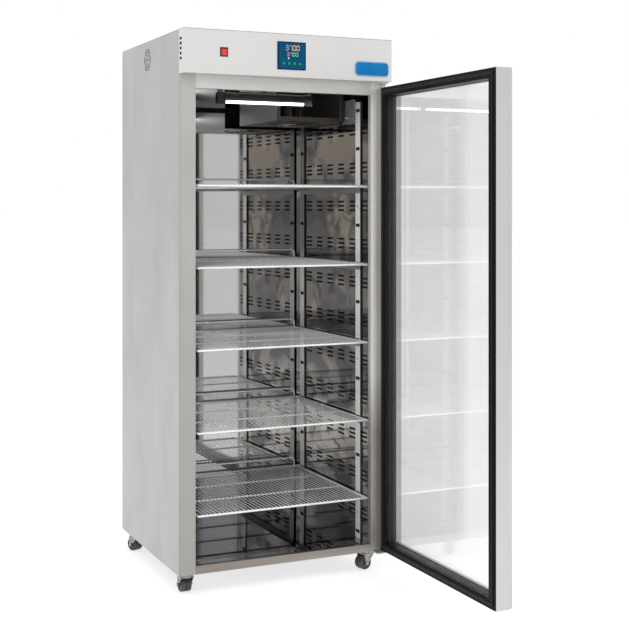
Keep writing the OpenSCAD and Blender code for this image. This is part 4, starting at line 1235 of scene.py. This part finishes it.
pins = Form()
for dx, dz in PIN_PLACES:
    x, z = inlet_x + dx, inlet_z + dz
    low = (x - PIN_HALF_X, PIN_Y[0], z - PIN_HALF_Z)
    high = (x + PIN_HALF_X, PIN_Y[1], z + PIN_HALF_Z)
    pins.block(low, high, 0.5, 2)
pins.piece("inlet_pins", "cabinet", [M_SCREW])


# Bolts of the hinge brackets, and the head of the upper pin

UPPER_BOLT_X, UPPER_BOLT_Y, UPPER_BOLT_Z = (349.0, 366.0), -3.0, 1752.0
LOWER_BOLT_X, LOWER_BOLT_Y = 356.0, (-4.0, 8.0)
LOWER_BOLT_Z = box("hinge_bracket_bottom")[0][2]
PIN_HEAD_AT = (377.5, -16.0, 1757.0)
PIN_HEAD = [(5.5, 0), (5.5, 1.6), (4.4, 2.6)]

bolts = Form()
for x in UPPER_BOLT_X:
    bolts.nut((x, UPPER_BOLT_Y, UPPER_BOLT_Z), FORWARD, 4.2, 2.6)
for y in LOWER_BOLT_Y:
    bolts.nut((LOWER_BOLT_X, y, LOWER_BOLT_Z), DOWN, 4.6, 3.0)
bolts.lathe(PIN_HEAD_AT, DOWN, PIN_HEAD, 20)
bolts.piece("bracket_bolts", "cabinet", [M_SCREW])


# Casters: each corner's place, and how far the caster has swivelled, in degrees

CASTERS = {
    "front_left": (-343.0, 62.0, 0.0),
    "front_right": (343.0, 62.0, 104.0),
    "rear_left": (-343.0, 645.0, 24.0),
    "rear_right": (343.0, 645.0, -38.0),
}
TRAIL, AXLE_Z = 18.0, 25.0
PLATE_BOLT_X, PLATE_BOLT_Y, PLATE_BOLT_Z = 24.0, 34.0, 72.5
RACE_Z = 66.2
RACE = [(21.0, 0), (23.0, 1.4), (23.0, 3.0), (21.0, 4.4)]
FORK_X, PRESSED_X, PRESSED_R = 26.0, 23.1, 1.1
PRESSED_TOP_Z, PRESSED_FOOT_Z = 55.0, 37.0
PRESSED_Y = ((-9.0, TRAIL - 3.0), (19.0, TRAIL + 3.0))
KINGPIN_Z = 52.2
KINGPIN = [(8.5, 0), (9.5, 0.6), (9.5, 1.8)]
HUB_X = 17.3
HUB = [(9.0, 0), (9.0, 0.9), (7.6, 1.5), (4.2, 1.5)]
TREAD_X, TREAD_R, TREAD_LINE_R = 9.0, 24.95, 0.25


def swivelled(cx, cy, degrees):
    """Turns a caster's own axes, x along its axle and y towards its trail, to its place."""
    a = math.radians(degrees)

    def place(x, y, z):
        return (cx + x * math.cos(a) - y * math.sin(a), cy + x * math.sin(a) + y * math.cos(a), z)

    return place


def fork_detail(corner, place):
    """Axle bolts, the fork's pressed ribs and the kingpin's nut."""
    form = Form(place)
    for side in (-1, 1):
        form.nut((side * FORK_X, TRAIL, AXLE_Z), (side, 0, 0), 6.8, 0.9)
        x = side * PRESSED_X
        for top_y, foot_y in PRESSED_Y:
            form.tube([(x, top_y, PRESSED_TOP_Z), (x, foot_y, PRESSED_FOOT_Z)], PRESSED_R, 8)
    form.lathe((0, 0, KINGPIN_Z), UP, KINGPIN, 6)
    form.piece(f"fork_detail_{corner}", f"swivel_{corner}", [M_ZINC])


def wheel_hub(corner, place):
    """Hub caps and the raised lines round the two treads."""
    form = Form(place)
    for side in (-1, 1):
        form.lathe((side * HUB_X, TRAIL, AXLE_Z), (side, 0, 0), HUB, 24)
    for side in (-1, 1):
        line = [(side * TREAD_X, TRAIL + y, AXLE_Z + z) for y, z in circle(TREAD_R, 48)]
        form.tube(line, TREAD_LINE_R, 5, loop=True)
    form.piece(f"wheel_hub_{corner}", f"wheel_{corner}", [M_TREAD])


plate_bolts = Form()
for corner, (cx, cy, degrees) in CASTERS.items():
    for dx in (-PLATE_BOLT_X, PLATE_BOLT_X):
        for dy in (-PLATE_BOLT_Y, PLATE_BOLT_Y):
            plate_bolts.nut((cx + dx, cy + dy, PLATE_BOLT_Z), DOWN, 5.2, 3.2)
    plate_bolts.lathe((cx, cy, RACE_Z), UP, RACE, 36)
    fork_detail(corner, swivelled(cx, cy, degrees))
    wheel_hub(corner, swivelled(cx, cy, degrees))
plate_bolts.piece("caster_bolts", "cabinet", [M_ZINC])


# Softened edges of the CAD sheet parts, by their radius

SOFTENED = {
    0.9: (
        *each("hinge_bracket", ("top", "bottom")), "header_fascia", "top_cover", "fan_housing",
    ),
    0.7: (
        *each("front_post", SIDES), *each("side_panel", SIDES), "head_rail", "sill", "back_panel",
    ),
    0.6: (
        *each("door_stile", ("hinge", "lead")), *each("door_rail", ("top", "bottom")),
        "door_trim", "glazing_bead", "switch_housing", "rocker", "controller",
        "temperature_probe",
    ),
    0.4: (
        *each("runners", SIDES), *each("uprights", SIDES), *each("fork", CORNERS),
        "caster_plates", "mains_inlet",
    ),
}
MERGE_METRES = 0.00002
SOFTENED_ANGLE = 40.0

for radius, names in SOFTENED.items():
    for name in names:
        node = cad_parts[name]
        weld = node.modifiers.new("weld", "WELD")
        weld.merge_threshold = MERGE_METRES
        soft = node.modifiers.new("edges", "BEVEL")
        soft.width = radius * MM
        soft.segments = 2
        soft.limit_method = "ANGLE"
        soft.angle_limit = math.radians(SOFTENED_ANGLE)
        soft.harden_normals = True


# Stage: floor and world, in metres

FLOOR_HALF = 60.0
FLOOR_COLOR, FLOOR_ROUGH = 0.8, 0.9
FLOOR_SHADE, FLOOR_GLOW = 0.5, 0.65
WORLD_LIGHT, WORLD_SEEN = 0.82, 1.0


def floor_paper():
    """Pale paper that glows a little where it is seen or mirrored, and keeps its shadows."""
    mat = bpy.data.materials.new("floor_paper")
    mat.use_nodes = True
    tree = mat.node_tree
    paper = tree.nodes["Principled BSDF"]
    paper.inputs["Base Color"].default_value = grey(FLOOR_COLOR)
    paper.inputs["Roughness"].default_value = FLOOR_ROUGH
    paper.inputs["Specular IOR Level"].default_value = 0.0
    shade = tree.nodes.new("ShaderNodeBsdfDiffuse")
    shade.inputs["Color"].default_value = grey(FLOOR_SHADE)
    glow = tree.nodes.new("ShaderNodeEmission")
    glow.inputs["Strength"].default_value = FLOOR_GLOW
    both = tree.nodes.new("ShaderNodeAddShader")
    tree.links.new(shade.outputs[0], both.inputs[0])
    tree.links.new(glow.outputs[0], both.inputs[1])
    choose(tree, seen_or_mirrored(tree), paper.outputs[0], both.outputs[0])
    return mat


floor_mesh = bpy.data.meshes.new("floor")
corners = [(x * FLOOR_HALF, y * FLOOR_HALF, 0) for x, y in SQUARE]
floor_mesh.from_pydata(corners, [], [(0, 1, 2, 3)])
floor = put("floor", floor_mesh)
floor_mesh.materials.append(floor_paper())

world = bpy.data.worlds.new("studio")
bpy.context.scene.world = world
world.use_nodes = True
sky = world.node_tree
backdrop = sky.nodes["Background"]
backdrop.inputs["Color"].default_value = grey(1.0)
brightness = sky.nodes.new("ShaderNodeMapRange")
brightness.inputs["To Min"].default_value = WORLD_LIGHT
brightness.inputs["To Max"].default_value = WORLD_SEEN
sky.links.new(seen_or_mirrored(sky), brightness.inputs["Value"])
sky.links.new(brightness.outputs["Result"], backdrop.inputs["Strength"])


# Lamps

AIM = (0, 0, 900)


def lamp(name, place, size, power):
    """A large soft panel, its sides in metres, aimed at the middle of the cabinet's front."""
    data = bpy.data.lights.new(name, "AREA")
    data.shape = "RECTANGLE"
    data.size, data.size_y = size, size
    data.energy = power
    made = put(name, data)
    made.location = at(*place)
    made.rotation_euler = (at(*AIM) - made.location).to_track_quat("-Z", "Y").to_euler()
    made.visible_camera = False
    made.visible_glossy = False
    return made


lamp("key_lamp", (-1800, -2600, 3400), 2.4, 55)
lamp("fill_lamp", (2600, -1800, 2600), 2.0, 22)
